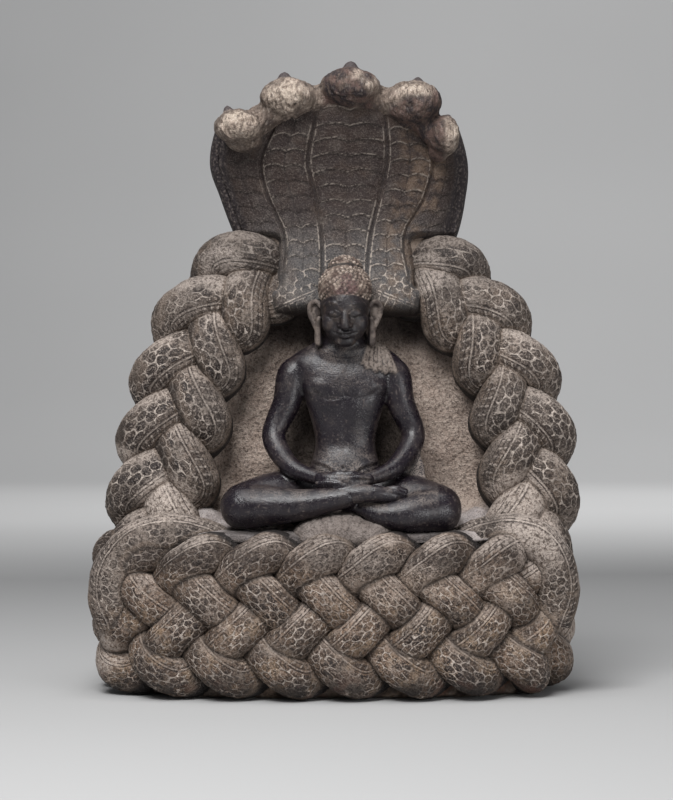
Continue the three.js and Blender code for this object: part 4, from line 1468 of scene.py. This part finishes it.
def head_stone():
    """Pale broken stone on the heads, darker on the throats that run down into the hood, where the
    stone is dark brown and painted shade lies, and painted shade towards each head's rim.
    """
    paint = Paint("head_stone")
    broad, patch = paint.noise(22, 3, 1), paint.noise(9, 5, 2)
    streak = paint.noise(2.6, 5, 3, (1, 1, 0.4))
    grit = paint.noise(1.4, 4, 4)
    hollow, knob = paint.mark("hollow"), paint.mark("knob")
    dark, throat = paint.mark("dark"), paint.mark("throat")
    paint.base(broad.rise(0.35, 0.65), BROKEN_PALE, BROKEN_BROWN)
    paint.coat(patch.rise(0.5, 0.64) * 0.7, EARTH)
    throat_colour = paint.blend(patch.rise(0.42, 0.6), THROAT_PALE, THROAT_DARK)
    paint.coat(throat, throat_colour)
    reddish = paint.blend(patch.rise(0.4, 0.6), REDDISH, REDDISH_DARK)
    reddish = paint.blend(streak.rise(0.56, 0.64) * 0.35, reddish, STREAK_PALE)
    paint.coat(dark, reddish)
    paint.coat(streak.rise(0.5, 0.62) * 0.7, STREAK_DARK)
    bright = (1 - dark * 0.75) * (1 - throat * 0.7)
    paint.coat(streak.rise(0.46, 0.34) * bright * 0.45, BRIGHT)
    # Painted shade: black in the pits and hollows.
    paint.coat(hollow.rise(0.55, 0.9) * 0.85, BLACK)
    paint.coat(grit.rise(0.48, 0.36) * 0.4, DIRT)
    paint.coat(knob, KNOB_DARK)
    relief = (grit - 0.5) * 1.6 + (streak - 0.5) * 3.6 * (1 - knob) + (patch - 0.5) * 2.0
    return paint.done(0.62 + grit * 0.2 - knob * 0.2, relief, 0.4)


# %% Fuse and weather the heads
def heads():
    clay = Clay()
    for across, up, half, (aside, radius) in HEADS:
        clay.egg((across, HEAD_BACK, up), half)
        clay.egg((across + aside, HEAD_BACK, up + half[2] * 0.92), (radius, radius, radius * 1.1))
        nape = (across * 0.95, HEAD_BACK + 15, up - half[2] * 0.7)
        clay.egg(nape, (half[0] * 0.75, half[1] * 0.7, 12))
    for one, two in zip(HEADS, HEADS[1:]):
        clay.limb([(across, HEAD_BACK + 6, up - 5, 14) for across, up, _, _ in (one, two)])
    mesh = clay.fuse("heads", size=1.5, passes=6)
    points = corners_of(mesh) / MM
    x, z = points[:, 0], points[:, 2]
    knob, below = np.zeros(len(points)), np.full(len(points), 99.0)
    for across, up, half, (aside, radius) in HEADS:
        middle = np.array([across + aside, HEAD_BACK, up + half[2] * 0.92 + 1])
        knob = np.maximum(knob, smooth((radius + 3 - np.linalg.norm(points - middle, axis=1)) / 3))
        beside = np.clip(abs(x - across) / half[0], 0, 1)
        lower_edge = up - half[2] * np.sqrt(1 - 0.6 * beside**2)
        below = np.where(abs(x - across) < half[0] + 2, np.minimum(below, lower_edge - z), below)
    # Darker below each head, dark brown stone with painted shade, and painted shade towards each head's
    # rim.
    throat = smooth((np.where(below > 90, 0, below) + 3 + 3 * grain(points, 9, 76)) / 9)
    rounds = [np.hypot((x - across) / half[0], (z - up) / half[2]) for across, up, half, _ in HEADS]
    edge = smooth((np.min(rounds, axis=0) + 0.25 * grain(points, 8, 78) - 0.6) / 0.35)
    throat = np.maximum(throat, 0.75 * edge * (1 - knob))
    dark = smooth((28 - abs(x - 15)) / 7) * smooth(grain(points, 12, 71) + 0.95)
    brown = smooth((572 - z + 0.3 * (x - 82) + 5 * grain(points, 9, 77)) / 8)
    dark = np.maximum(dark, 0.95 * brown * smooth((30 - abs(x - 80)) / 7))
    streaks = 1 - 2 * abs(grain(points * np.array([1, 1, 0.45]), 5, 73))
    heights = 2.2 * grain(points, 15, 72) + 1.2 * streaks + 0.8 * grain(points, 3.4, 75)
    carve(mesh, heights * (1 - 0.9 * knob) * (1 - 0.6 * throat) - 0.6 * (1 - knob))
    hollow = hollows(mesh, times=8, depth=1.7)
    add_marks(mesh, knob=knob, dark=dark, throat=throat, hollow=hollow)
    keep_piece(mesh, head_stone())


heads()

# %% [markdown]
# ## The seated figure
# The figure sits in meditation, one leg over the other and its hands in its lap. It is polished
# almost black. Its size is given once, and every stop is in hundredths of its height, as a
# carver lays out a figure. The trunk, arms and legs are fused first. Hands, feet and head have
# finer forms, so each is fused again with smaller voxels and laid over.

# %% The figure's frame of measure
AXIS, FIGURE_SEAT, HUNDREDTH = 11, SEAT_HEIGHT - 1, 2.58
MIDDLE = 0.3  # the figure's middle line across, in hundredths


def at(x, y, z, *sizes):
    place = (AXIS + x * HUNDREDTH, y * HUNDREDTH, FIGURE_SEAT + z * HUNDREDTH)
    return (*place, *[size * HUNDREDTH for size in sizes])


def halves(*sizes):
    return [size * HUNDREDTH for size in sizes]


def in_hundredths(points):
    return (points / MM - np.array([AXIS, 0, FIGURE_SEAT])) / HUNDREDTH


def away_from(points, path):
    """How far each point is from a path, both with as many coordinates."""
    path = np.array(path, float)
    best = np.full(len(points), 1e9)
    for start, end in zip(path, path[1:]):
        step = end - start
        share = np.clip((points - start) @ step / (step @ step), 0, 1)
        best = np.minimum(best, np.linalg.norm(points - start - share[:, None] * step, axis=1))
    return best


def cut(points, normals, path, width, depth):
    """Heights of a line cut into the front, along a path given as across and up."""
    away = away_from(points[:, [0, 2]], spline(path, 6))
    return -depth * line_at(away, 0, width) * smooth(-normals[:, 1] * 3)


# %% The polished stone
POLISH, POLISH_GREY = (0.0066, 0.0042, 0.0074), (0.0105, 0.0072, 0.0112)
POLISH_BROWN = (0.03, 0.019, 0.018)
DUST = (0.2, 0.165, 0.145)
FLECK, SCUFF = (0.16, 0.13, 0.115), (0.2, 0.18, 0.17)
CLOTH_PALE, CLOTH_DARK = (0.17, 0.138, 0.118), (0.06, 0.045, 0.038)
HOLLOW_SHADE = (0.007, 0.005, 0.006)  # painted shade in the hollows


def polished_stone():
    paint = Paint("polished_stone")
    broad, patch = paint.noise(45, 3, 1), paint.noise(12, 4, 2)
    speck, grit = paint.noise(2.4, 5, 3), paint.noise(1.2, 4, 4)
    hollow, dust, cloth = paint.mark("hollow"), paint.mark("dust"), paint.mark("cloth")
    paint.base(broad.rise(0.35, 0.65), POLISH, POLISH_GREY)
    paint.coat(patch.rise(0.5, 0.72) * 0.3, POLISH_BROWN)
    # Dust, and on the upper chest a painted sheen, in one pale coat.
    paint.coat(dust * patch.rise(0.3, 0.55) * grit.rise(0.4, 0.56), DUST)
    flecks = speck.rise(0.57, 0.63) * patch.rise(0.42, 0.58)
    paint.coat(flecks * 0.36, FLECK)
    paint.coat(grit.rise(0.6, 0.66) * patch.rise(0.6, 0.4) * 0.35, SCUFF)
    worn_cloth = paint.blend(speck.rise(0.44, 0.66), CLOTH_PALE, CLOTH_DARK)
    paint.coat(cloth, worn_cloth)
    # Painted shade in the hollows and under the chin.
    paint.coat(hollow.rise(0.55, 0.85) * 0.8, HOLLOW_SHADE)
    roughness = 0.26 + patch.rise(0.4, 0.7) * 0.06 + speck.rise(0.5, 0.7) * 0.14 + (dust + cloth) * 0.4
    relief = (grit - 0.5) * 0.35 + (speck - 0.5) * 0.35 + (patch - 0.5) * 0.2
    return paint.done(roughness, relief, 0.5)


POLISHED = polished_stone()

# %% [markdown]
# The trunk is one limb with a rounded box's section, from the hips to the neck. Arms and legs
# are limbs bent at elbow and knee, and eggs fill the chest, the belly and the lap. The two lines
# at the collar, the one under the breast, the belt and the pleated end of the robe over one
# shoulder are cut into the fused skin.

# %% Trunk, arms and legs
TRUNK = [  # height, half width, half depth and place back, hips to neck
    (4, 17, 10, -8),
    (15, 15.8, 9.4, -7),
    (23, 13.4, 9.6, -7),
    (31, 11.2, 7.8, -6.5),
    (39, 12.4, 8.2, -6.5),
    (47, 14.6, 9.2, -7),
    (55, 17.6, 9.2, -7),
    (59.5, 20.4, 8.4, -6.8),
    (63, 20.8, 7.6, -6.6),
    (65.8, 17.8, 6.8, -6.8),
    (68.4, 12.6, 6.2, -7.6),
    (71.5, 8.2, 6, -9),
]
BODY_LINES = [  # paths across and up, width and depth; a negative depth stands out
    ([(-9, 68), (-5, 65.6), (0.3, 64.8), (5.6, 65.6), (9, 67.4)], 0.35, 0.9),
    ([(-11.4, 67.8), (-6.4, 64.6), (0.3, 63.2), (7, 64.6), (10, 66.2)], 0.38, 0.9),
    ([(-12, 52), (-8.5, 49.4), (-4, 48.8), (0.3, 50), (4.6, 48.8), (9, 49.4), (12.5, 52)], 0.8, 0.8),
    ([(-11, 25.8), (-6.5, 24.4), (-3.4, 22.2), (0.1, 20.8), (3.6, 22), (7, 24.2), (12, 25.6)], 0.42, -1.1),
    ([(-11, 24.4), (-6.5, 23), (-3.4, 20.8), (0.1, 19.4), (3.6, 20.6), (7, 22.8), (12, 24.2)], 0.4, 0.9),
    ([(0.2, 58), (0.2, 50), (0.2, 40), (0, 30)], 1.0, 0.6),
]


WEB = [at(x, 0, z)[::2] for x, z in ((15, 17), (30, 19), (29.5, 24), (27.5, 29), (24, 26), (18, 21))]
WEB_BACK, WEB_FRONT = -25, 36  # stone left between one forearm and the thigh, as a prism on its edge


def arm(clay, side, shoulder, elbow, wrist):
    clay.limb(
        [
            at(side * (shoulder - 3), -6.4, 60.4, 5),
            at(side * (shoulder + 0.8), -6.5, 57, 5.9),
            at(side * (shoulder + 3), -7, 47, 5.3),
            at(side * (elbow - 0.4), -8.5, 36.5, 4.5),
            at(side * (elbow - 1.6), -12, 30.4, 4.2),
            at(side * (elbow - 7), -19, 23.6, 3.6),
            at(side * (wrist + 3), -24.5, 20.2, 2.7),
            at(side * (wrist - 3), -28.5, 19, 2.1),
        ]
    )


SASH_TOP = (11.5, 78)  # the pleats of the robe's end fan out from here, across and up


def sash(points, normals):
    """1 on the folded end of the robe over the shoulder, and heights of its pleats and hem."""
    across, down = points[:, 0] - SASH_TOP[0], SASH_TOP[1] - points[:, 2]
    fan = np.degrees(np.arctan2(across, down))
    hem = 17.4 + 0.09 * (fan + 18) + 1.0 * np.abs((fan / 5) % 2 - 1)
    far = np.hypot(across, down)
    on = smooth((fan + 19) / 2) * smooth((24 - fan) / 2) * smooth((hem - far) / 0.5)
    on = on * smooth((far - 5) / 1.5) * (points[:, 1] < -3) * smooth(1.2 - normals[:, 1])
    pleats = 0.75 * np.cos(np.radians(fan) * 60)
    fold = 1.3 * smooth((far - hem + 3.8) / 0.8)
    return on, on * (1.0 + pleats + fold)


# %% Press the body together and carve it
def body():
    clay = Clay()
    clay.limb([at(MIDDLE, y, z, wide, deep) for z, wide, deep, y in TRUNK], square=0.86)
    for side in (-1, 1):
        clay.egg(at(MIDDLE + side * 7.4, -10.6, 53.4), halves(8.4, 5.4, 5.6))
    clay.egg(at(0.1, -9.4, 25.4), halves(9.8, 6.2, 8.4))
    clay.egg(at(MIDDLE, -11.4, 65.6), halves(10.5, 4.6, 4.6))
    arm(clay, -1, 18.4, 26.4, 8.2)
    arm(clay, 1, 18, 25.8, 8.6)
    clay.limb([at(-9, -7, 14, 9), at(-24, -13, 13, 9), at(-36.8, -20.5, 9.4, 8.4)])
    clay.limb([at(-37, -22, 9, 8.4), at(-25, -26, 9.6, 7.1), at(-14, -28, 10.4, 5.6), at(1, -30, 13.2, 4)])
    clay.limb([at(9, -7, 13, 9), at(23, -13, 11.8, 9), at(34.4, -20, 8.6, 8.6)])
    upper_shin = [(34.6, -22, 7.8, 8.4), (24, -27, 6.8, 7), (14, -28.5, 6.6, 4.8)]
    ankle = [(7, -27, 8.6, 2.8), (0, -24, 9.4, 2)]
    clay.limb([at(*stop) for stop in upper_shin + ankle])
    clay.prism(WEB, WEB_BACK, WEB_FRONT, 0, upright=True)
    neck = [(-12.6, 77, 6, 5.6), (-10.4, 70, 7, 5.6), (-8.4, 64, 11, 5.8)]
    clay.limb([at(MIDDLE, *stop) for stop in neck])
    clay.egg(at(MIDDLE, -11, 5), halves(21, 10, 8))
    mesh = clay.fuse("figure", size=1.65, passes=4)
    points, normals = in_hundredths(corners_of(mesh)), normals_of(mesh)
    heights = 0.25 * grain(points, 6, 81)
    upper = points[:, 2] > 17
    for path, width, depth in BODY_LINES:
        heights += cut(points, normals, path, width, depth) * upper
    navel = np.hypot(points[:, 0] + 0.4, points[:, 2] - 23.2)
    heights += (0.9 * line_at(navel, 1.15, 0.35) - 1.6 * line_at(navel, 0, 0.6)) * (points[:, 1] < -10)
    on_sash, folds = sash(points, normals)
    carve(mesh, heights + folds)
    x, y, z = points.T
    dust = smooth((z - 17) / 4) * smooth((35 - z) / 13) * smooth((13 - abs(x)) / 5) * 0.65
    on_legs = smooth(normals[:, 2] * 1.3 - 0.2) * smooth((19 - z) / 6) * (abs(x) < 34)
    dust = np.maximum(dust, on_legs * 0.7)
    dust = np.maximum(dust, smooth((grain(points, 5, 82) - 0.1) * 2) * 0.12)
    web = smooth((y + 15.2) * 3) * smooth((x - 22) / 1.5) * smooth((30.5 - z) / 2) * (z > 16)
    dust = np.maximum(dust, web)
    # The chest: dust flecks lower down and, above them, a painted sheen where the chest's highlight falls.
    chest = smooth((z - 47) / 6) * smooth((70 - z) / 3) * smooth((17 - abs(x + 1)) / 8) * (y < -6)
    dust = np.maximum(dust, chest * (0.16 + 0.24 * smooth((z - 60) / 4)))
    # Painted shade on the neck, under the chin.
    under_chin = smooth((9.4 - abs(x - MIDDLE)) / 2) * smooth((z - 69) / 2)
    hollow = np.maximum(hollows(mesh, times=10, depth=1.5), under_chin)
    add_marks(mesh, dust=dust, cloth=on_sash, hollow=hollow)
    keep_piece(mesh, POLISHED)


body()

# %% [markdown]
# One hand lies in the other in the lap, and a foot rests on the other leg. Fingers and toes are
# rows of short limbs, each a step further along. They need voxels half the size of the body's,
# so they are a skin of their own.


# %% Hands and feet
def row_of(clay, start, end, step, count, radius, flat=1):
    """Fingers or toes side by side, each from start to end and a step further along."""
    for number in range(count):
        shift = [number * value for value in step]
        one = [start[axis] + shift[axis] for axis in range(3)]
        two = [end[axis] + shift[axis] for axis in range(3)]
        bend = [(one[0] + two[0]) / 2, (one[1] + two[1]) / 2 - 0.5, (one[2] + two[2]) / 2 + 0.4]
        clay.limb([at(*one, radius * 1.1), at(*bend, radius * 1.05), at(*two, radius * 0.8)], flat)


def hands_and_feet():
    clay = Clay()
    left_palm = [(9, -27.4, 19.4, 2.3), (5, -29, 18, 2.5), (0, -30, 17, 2.5), (-3, -30, 16.8, 1.9)]
    clay.limb([at(*stop) for stop in left_palm], 0.9)
    row_of(clay, (-1.5, -31.6, 18), (-10, -29.6, 18.2), (0.3, 0.6, -0.85), 4, 0.78)
    right_palm = [(-9, -27, 19.8, 2.2), (-5, -29, 19.4, 2.5), (1, -30, 19.2, 2.5), (4, -30, 19, 1.8)]
    clay.limb([at(*stop) for stop in right_palm], 0.85)
    row_of(clay, (2, -31.4, 20.2), (9.6, -29.4, 20), (-0.2, 0.6, -0.8), 4, 0.76)
    clay.limb([at(-6, -28, 20.8, 1.1), at(-2.6, -29.6, 21.6, 0.95), at(0.1, -30, 21.6, 0.8)])
    clay.limb([at(7, -28, 20.8, 1.1), at(3.4, -29.6, 21.6, 0.95), at(0.9, -30, 21.6, 0.8)])
    foot = [(-1, -30, 13.6, 3.7), (6, -31, 14.4, 3.3), (12, -31, 14.4, 3), (18, -30, 13.6, 2.3)]
    clay.limb([at(*stop) for stop in foot], 0.85)
    row_of(clay, (16.5, -31.6, 15.2), (22.4, -29.8, 14), (-0.5, 0.4, -1.05), 4, 0.72)
    clay.limb([at(16, -30, 16, 1.1), at(19.4, -30, 16.2, 1.15), at(22.4, -29, 15.2, 1.0)])
    mesh = clay.fuse("hands_and_feet", size=0.8, passes=2)
    points = in_hundredths(corners_of(mesh))
    carve(mesh, 0.15 * grain(points, 4, 83))
    dust = smooth((grain(points, 4, 84) - 0.1) * 2) * 0.4
    # Painted shade in the hollows between fingers and toes.
    hollow = hollows(mesh, times=8, depth=0.7)
    add_marks(mesh, dust=dust, cloth=np.zeros(len(points)), hollow=hollow)
    keep_piece(mesh, POLISHED)


hands_and_feet()

# %% [markdown]
# ## The head
# The face is the carver's own calm one, laid out by the usual rule: the eyes lie half way down
# the head, hairline, brow, nose and chin are a third of the face apart, and an eye's width lies
# between the eyes. Its lids are lowered. The hair is small curls over the skull and the bun, and
# the ears hang long.

# %% Laying out the head
FACE_LINES = [  # half of the face: paths across and up, width and depth in hundredths and mm
    ([(2, 79.2), (3.1, 78.4), (4.2, 78.2), (5.3, 78.5), (6.3, 79.3)], 0.24, 0.9),
    ([(1.9, 80.4), (3.1, 81.2), (4.3, 81.5), (5.6, 81.1), (6.6, 80.2)], 0.3, 0.6),
    ([(2.3, 75), (3.1, 73.9), (3.6, 73)], 0.4, 0.35),
]
LIP_LINE = [(-3.9, 72.7), (-1.7, 72.15), (0.3, 72.3), (2.3, 72.15), (4.5, 72.7)]
DOME, DOME_HALF = (-13.6, 86.8), (9.9, 11.8, 9.4)
BUN, BUN_HALF = (-10.6, 93), (6.6, 5.6, 5.6)
KNOB, KNOB_HALF = (-10.6, 97), (3.4, 3, 1.7)
NOD, NOD_PIVOT, NOD_LIFT = math.radians(12), (-15, 76), 2.2  # the head is bent forward

NOSE = [(-23.4, 83.2, 1.8), (-25.4, 80.6, 1.75), (-26.6, 77.8, 1.8), (-27.4, 76, 1.7)]
UPPER_LIP = [(-4, -24, 73, 0.5), (-1.8, -25.9, 73.1, 0.85), (0, -26.3, 72.9, 0.9)]
LOWER_LIP = [(-3.3, -24.2, 72, 0.5), (0, -26, 71.4, 1.0)]
# Half of what lies beside the middle line: across from it, back and up, and half sizes.
SIDE_EGGS = [
    ((1.75, -26.4, 75.4), (1.15, 1.4, 0.95)),  # the nose's wing
    ((4.6, -21.6, 75.6), (3.9, 3.7, 4.4)),  # the cheek
    ((3.9, -24.2, 79.6), (2.6, 1.7, 1.5)),  # the eye
    ((10.4, -12.6, 77.6), (2.2, 1.5, 4.2)),  # the ear's bowl
]
BROW = [(1.4, -25.7, 82.4, 0.7), (3.8, -25.2, 83.5, 0.75), (6.4, -23, 83, 0.65), (7.8, -20.8, 81.4, 0.45)]
EAR_RIM = [
    (9, -15.6, 80.6, 0.8),
    (10.6, -14.6, 82.2, 0.85),
    (12.7, -13.4, 80.8, 0.95),
    (13, -13.2, 77.6, 0.95),
    (11.6, -13.8, 74.4, 1.05),
    (10.2, -14.6, 71.8, 1.2),
]
LOBE = [(9.6, -15.4, 76, 0.9), (9.9, -15.2, 72.6, 1.15), (9.9, -15.2, 69.6, 1.45), (9.8, -15.4, 67, 1.5)]


def mirrored(path):
    return [(2 * MIDDLE - x, *rest) for x, *rest in path]


def nodding(points):
    """The points, in hundredths, after the head has bent forward."""
    y, z = points[:, 1] - NOD_PIVOT[0], points[:, 2] - NOD_PIVOT[1]
    bent_y = y * math.cos(NOD) - z * math.sin(NOD) + NOD_PIVOT[0]
    bent_z = y * math.sin(NOD) + z * math.cos(NOD) + NOD_PIVOT[1] + NOD_LIFT
    return np.stack([points[:, 0], bent_y, bent_z], axis=1)


def beside(side, stops):
    return [at(MIDDLE + side * x, *rest) for x, *rest in stops]


def across_face(half):
    """A limb from one side to the other, from the stops of its first half."""
    return beside(1, half) + beside(-1, half[-2::-1])


# %% Press the skull together
def skull():
    clay = Clay()
    clay.egg(at(MIDDLE, -16, 80.5), halves(8.9, 11, 12.6))
    clay.egg(at(MIDDLE, -19.2, 73.4), halves(7.5, 7.2, 6.2))
    clay.egg(at(MIDDLE, -22.3, 69.3), halves(4.3, 3.5, 2.7))
    clay.limb([at(MIDDLE, *stop) for stop in NOSE])
    clay.egg(at(MIDDLE, -27.6, 75.4), halves(1.9, 1.5, 1.25))
    clay.limb(across_face(UPPER_LIP))
    clay.limb(across_face(LOWER_LIP))
    for side in (-1, 1):
        for place, half in SIDE_EGGS:
            clay.egg(*beside(side, [place]), halves(*half))
        for stops in (BROW, EAR_RIM, LOBE):
            clay.limb(beside(side, stops))
    for middle, half in ((DOME, DOME_HALF), (BUN, BUN_HALF), (KNOB, KNOB_HALF)):
        clay.egg(at(MIDDLE, *middle), halves(*half))
    clay.limb([at(MIDDLE, -14, 76, 5.4), at(MIDDLE, -12, 68, 5.6)])
    return clay.fuse("head", size=0.75, passes=3)


# %% Curls, lids, lips and hair
def curl_heights(points):
    """Domes in a spiral over the skull and the bun, and 1 where there is hair."""
    x, y, z = points.T
    heights, hair = np.zeros(len(points)), np.zeros(len(points))
    for middle, half, count in ((DOME, DOME_HALF, 190), (BUN, BUN_HALF, 80), (KNOB, KNOB_HALF, 24)):
        spot = (points - np.array([MIDDLE, *middle])) / np.array(half)
        out = np.linalg.norm(spot, axis=1)
        number = np.arange(count * 2) + 0.5
        up = 1 - number / count
        turn = math.pi * (1 + math.sqrt(5)) * number
        level = np.sqrt(1 - up**2)
        curls = np.stack([level * np.cos(turn), level * np.sin(turn), up], axis=1)
        nearest = (spot / out[:, None]) @ curls.T
        away = np.arccos(np.clip(nearest.max(1), -1, 1)) / math.sqrt(4 * math.pi / (2 * count))
        on = smooth((out - 0.965) / 0.03) * (out < 1.1)
        curl = 0.8 - 1.7 * smooth((away - 0.1) / 0.5)
        curl = curl * (0.4 + 0.6 * smooth(grain(points, 4, 86) * 1.4 + 0.6))
        heights = np.where(on > 0.4, curl, heights)
        hair = np.maximum(hair, on)
    hairline = 86.4 - 0.095 * np.maximum(abs(x - MIDDLE) - 2, 0) ** 1.9
    ahead = smooth((z - hairline) / 0.5) * smooth((12.6 - abs(x - MIDDLE)) / 0.6 + 0.4)
    hair = hair * np.maximum(ahead, smooth((y + 15) / 2))
    return heights * hair, hair


# %% Carve the head
def head():
    mesh = skull()
    points, normals = in_hundredths(corners_of(mesh)), normals_of(mesh)
    heights, hair = curl_heights(points)
    face = np.where(points[:, 1] < -20, 1.0, 0)
    for path, width, depth in FACE_LINES:
        for way in (path, mirrored(path)):
            heights += cut(points, normals, way, width, depth) * face
    heights += cut(points, normals, LIP_LINE, 0.24, 0.9) * face
    for side in (-1, 1):
        nostril = np.linalg.norm(points - np.array([MIDDLE + side * 0.9, -27.2, 74.3]), axis=1)
        heights -= 0.8 * line_at(nostril, 0, 0.5)
    carve(mesh, heights + 0.12 * grain(points, 3, 85))
    place = np.array([AXIS, 0, FIGURE_SEAT])
    move_corners(mesh, (nodding(in_hundredths(corners_of(mesh))) * HUNDREDTH + place) * MM)
    x, y, z = points.T
    rubbed = smooth((5.4 - np.hypot(x - 0.6, z - 89.4)) / 2) * (y < -14)
    ears = smooth((abs(x - MIDDLE) - 8.9) / 0.6) * (1 - hair) * (y > -18)
    # Painted shade along the line where the bun meets the dome, and on the neck under the chin.
    join = 1
    for middle, half in ((DOME, DOME_HALF), (BUN, BUN_HALF)):
        spot = (points - np.array([MIDDLE, *middle])) / np.array(half)
        join = join * line_at(np.linalg.norm(spot, axis=1), 1, 0.09)
    throat = (y > -21) * smooth((71.5 - z) / 3) * smooth((9.4 - abs(x - MIDDLE)) / 1.5)
    hollow = np.maximum(np.maximum(hollows(mesh, times=8, depth=0.9), join), throat)
    add_marks(mesh, hair=hair, rubbed=rubbed * hair, ear=ears, hollow=hollow)
    keep_piece(mesh, head_material())


# %% Stone of the head
FACE_DARK, FACE_GREY = (0.009, 0.0065, 0.0085), (0.016, 0.012, 0.0135)
FACE_BROWN, FACE_FLECK = (0.055, 0.038, 0.03), (0.19, 0.165, 0.145)
HAIR_TAN, HAIR_BROWN = (0.26, 0.2, 0.16), (0.09, 0.058, 0.045)
HAIR_RUBBED = (0.1, 0.055, 0.05)
EAR_TAN, EAR_BROWN = (0.17, 0.135, 0.115), (0.06, 0.045, 0.039)
# painted shade in the hollows: between the curls, in the face's creases, where bun meets dome and under
# the chin
HEAD_HOLLOW_SHADE = (0.014, 0.01, 0.009)
CURL_PALE = (0.46, 0.39, 0.34)


def head_material():
    """Dark polish on the face, and brown, worn stone on the hair and ears."""
    paint = Paint("head_polish_and_hair")
    broad, patch = paint.noise(24, 3, 1), paint.noise(7, 4, 2)
    speck, grit = paint.noise(2, 5, 3), paint.noise(1.0, 3, 4)
    hair, ear = paint.mark("hair"), paint.mark("ear")
    hollow, rubbed = paint.mark("hollow"), paint.mark("rubbed")
    paint.base(broad.rise(0.35, 0.65), FACE_DARK, FACE_GREY)
    paint.coat(patch.rise(0.48, 0.66) * 0.6, FACE_BROWN)
    paint.coat(speck.rise(0.58, 0.66) * patch.rise(0.36, 0.56) * 0.5, FACE_FLECK)
    brown = paint.blend(patch.rise(0.4, 0.6), HAIR_TAN, HAIR_BROWN)
    brown = paint.blend(rubbed * patch.rise(0.3, 0.5), brown, HAIR_RUBBED)
    pale = paint.blend(patch.rise(0.4, 0.6), EAR_TAN, EAR_BROWN)
    paint.coat(hair, brown)
    paint.coat(ear * 0.9, pale)
    paint.coat(speck.rise(0.52, 0.62) * (0.2 + hair * 0.5 + ear * 0.3), DIRT)
    # Painted shade in the hollows.
    paint.coat(hollow.rise(0.5, 0.8) * (0.6 + hair * 0.3), HEAD_HOLLOW_SHADE)
    raised = hollow.rise(0.46, 0.25) * (1 - rubbed * 0.8) * speck.rise(0.6, 0.45)
    paint.coat(hair * raised * patch.rise(0.62, 0.4) * 0.75, CURL_PALE)
    roughness = 0.34 + patch.rise(0.4, 0.7) * 0.15 + hair * 0.28 + ear * 0.28
    relief = (grit - 0.5) * (0.4 + hair * 0.6) + (speck - 0.5) * (0.5 + hair * 1.2)
    return paint.done(roughness, relief, 0.5)


head()

# %% [markdown]
# ## Floor, backdrop and light
# A studio sheet lies under the stone and bends up far behind it. The light is soft. One large
# panel hangs in front, above and to the left, a second straight overhead, and a small weak one
# stands low on the right. A fourth lights the sheet alone, and the surround is an even grey.


# %% Bend the studio sheet
SHEET_HALF, SHEET_BACK = 6, 4.8  # metres, half its width and where it starts to bend
SHEET_BELOW, BEND = 0.0006, 3  # how far it lies below the stone, and the radius of its bend
SHEET_GREY, SHEET_PALE = (0.41, 0.41, 0.41), (0.43, 0.43, 0.43)


def studio_sheet():
    shape = bmesh.new()
    bmesh.ops.create_grid(shape, x_segments=1, y_segments=1, size=SHEET_HALF)
    bmesh.ops.translate(shape, verts=shape.verts, vec=(0, SHEET_BACK - SHEET_HALF, -SHEET_BELOW))
    back = [e for e in shape.edges if all(v.co.y > 4 for v in e.verts)]
    turn = dict(cent=(0, SHEET_BACK, BEND), axis=(1, 0, 0), angle=math.radians(90), steps=32)
    bent = bmesh.ops.spin(shape, geom=back, **turn)["geom_last"]
    rim = [e for e in bent if isinstance(e, bmesh.types.BMEdge)]
    raised = bmesh.ops.extrude_edge_only(shape, edges=rim)["geom"]
    top = [v for v in raised if isinstance(v, bmesh.types.BMVert)]
    bmesh.ops.translate(shape, verts=top, vec=(0, 0, SHEET_HALF))
    bmesh.ops.recalc_face_normals(shape, faces=shape.faces)
    mesh = as_mesh(shape, "studio_sheet")
    mesh.polygons.foreach_set("use_smooth", np.ones(len(mesh.polygons), bool))
    paint = Paint("studio_sheet")
    tone = paint.noise(900, 1, 2).rise(0.2, 0.8)
    paint.base(tone, SHEET_GREY, SHEET_PALE)
    mesh.materials.append(paint.done(0.9, relief=0, specular=0))
    sheet = bpy.data.objects.new("studio_sheet", mesh)
    bpy.context.scene.collection.objects.link(sheet)


studio_sheet()


# %% Hang the lights
def panel(name, place, target, size, watts):
    data = bpy.data.lights.new(name, "AREA")
    data.shape = "RECTANGLE"
    data.size, data.size_y = size
    data.energy = watts
    light = bpy.data.objects.new(name, data)
    light.location = place
    aim = Vector(target) - Vector(place)
    light.rotation_euler = aim.to_track_quat("-Z", "Y").to_euler()
    bpy.context.scene.collection.objects.link(light)


panel("key", (-0.42, -1.45, 1.75), (0, 0, 0.3), (1.1, 0.9), 53)
panel("above", (-0.1, -0.3, 2.3), (0, 0, 0.3), (1.6, 1.1), 22)
panel("fill", (1.4, -1.7, 0.25), (0.1, 0, 0.12), (0.7, 0.7), 15)
panel("backdrop", (1.0, 2.2, 2.8), (0.6, 6, 1.8), (4, 1), 240)
world = bpy.data.worlds.new("surround")
world.use_nodes = True
world.node_tree.nodes["Background"].inputs["Color"].default_value = (0.8, 0.82, 0.86, 1)
world.node_tree.nodes["Background"].inputs["Strength"].default_value = 0.18
bpy.context.scene.world = world
bpy.context.scene.view_settings.view_transform = "Standard"
print("four panels and a grey surround")
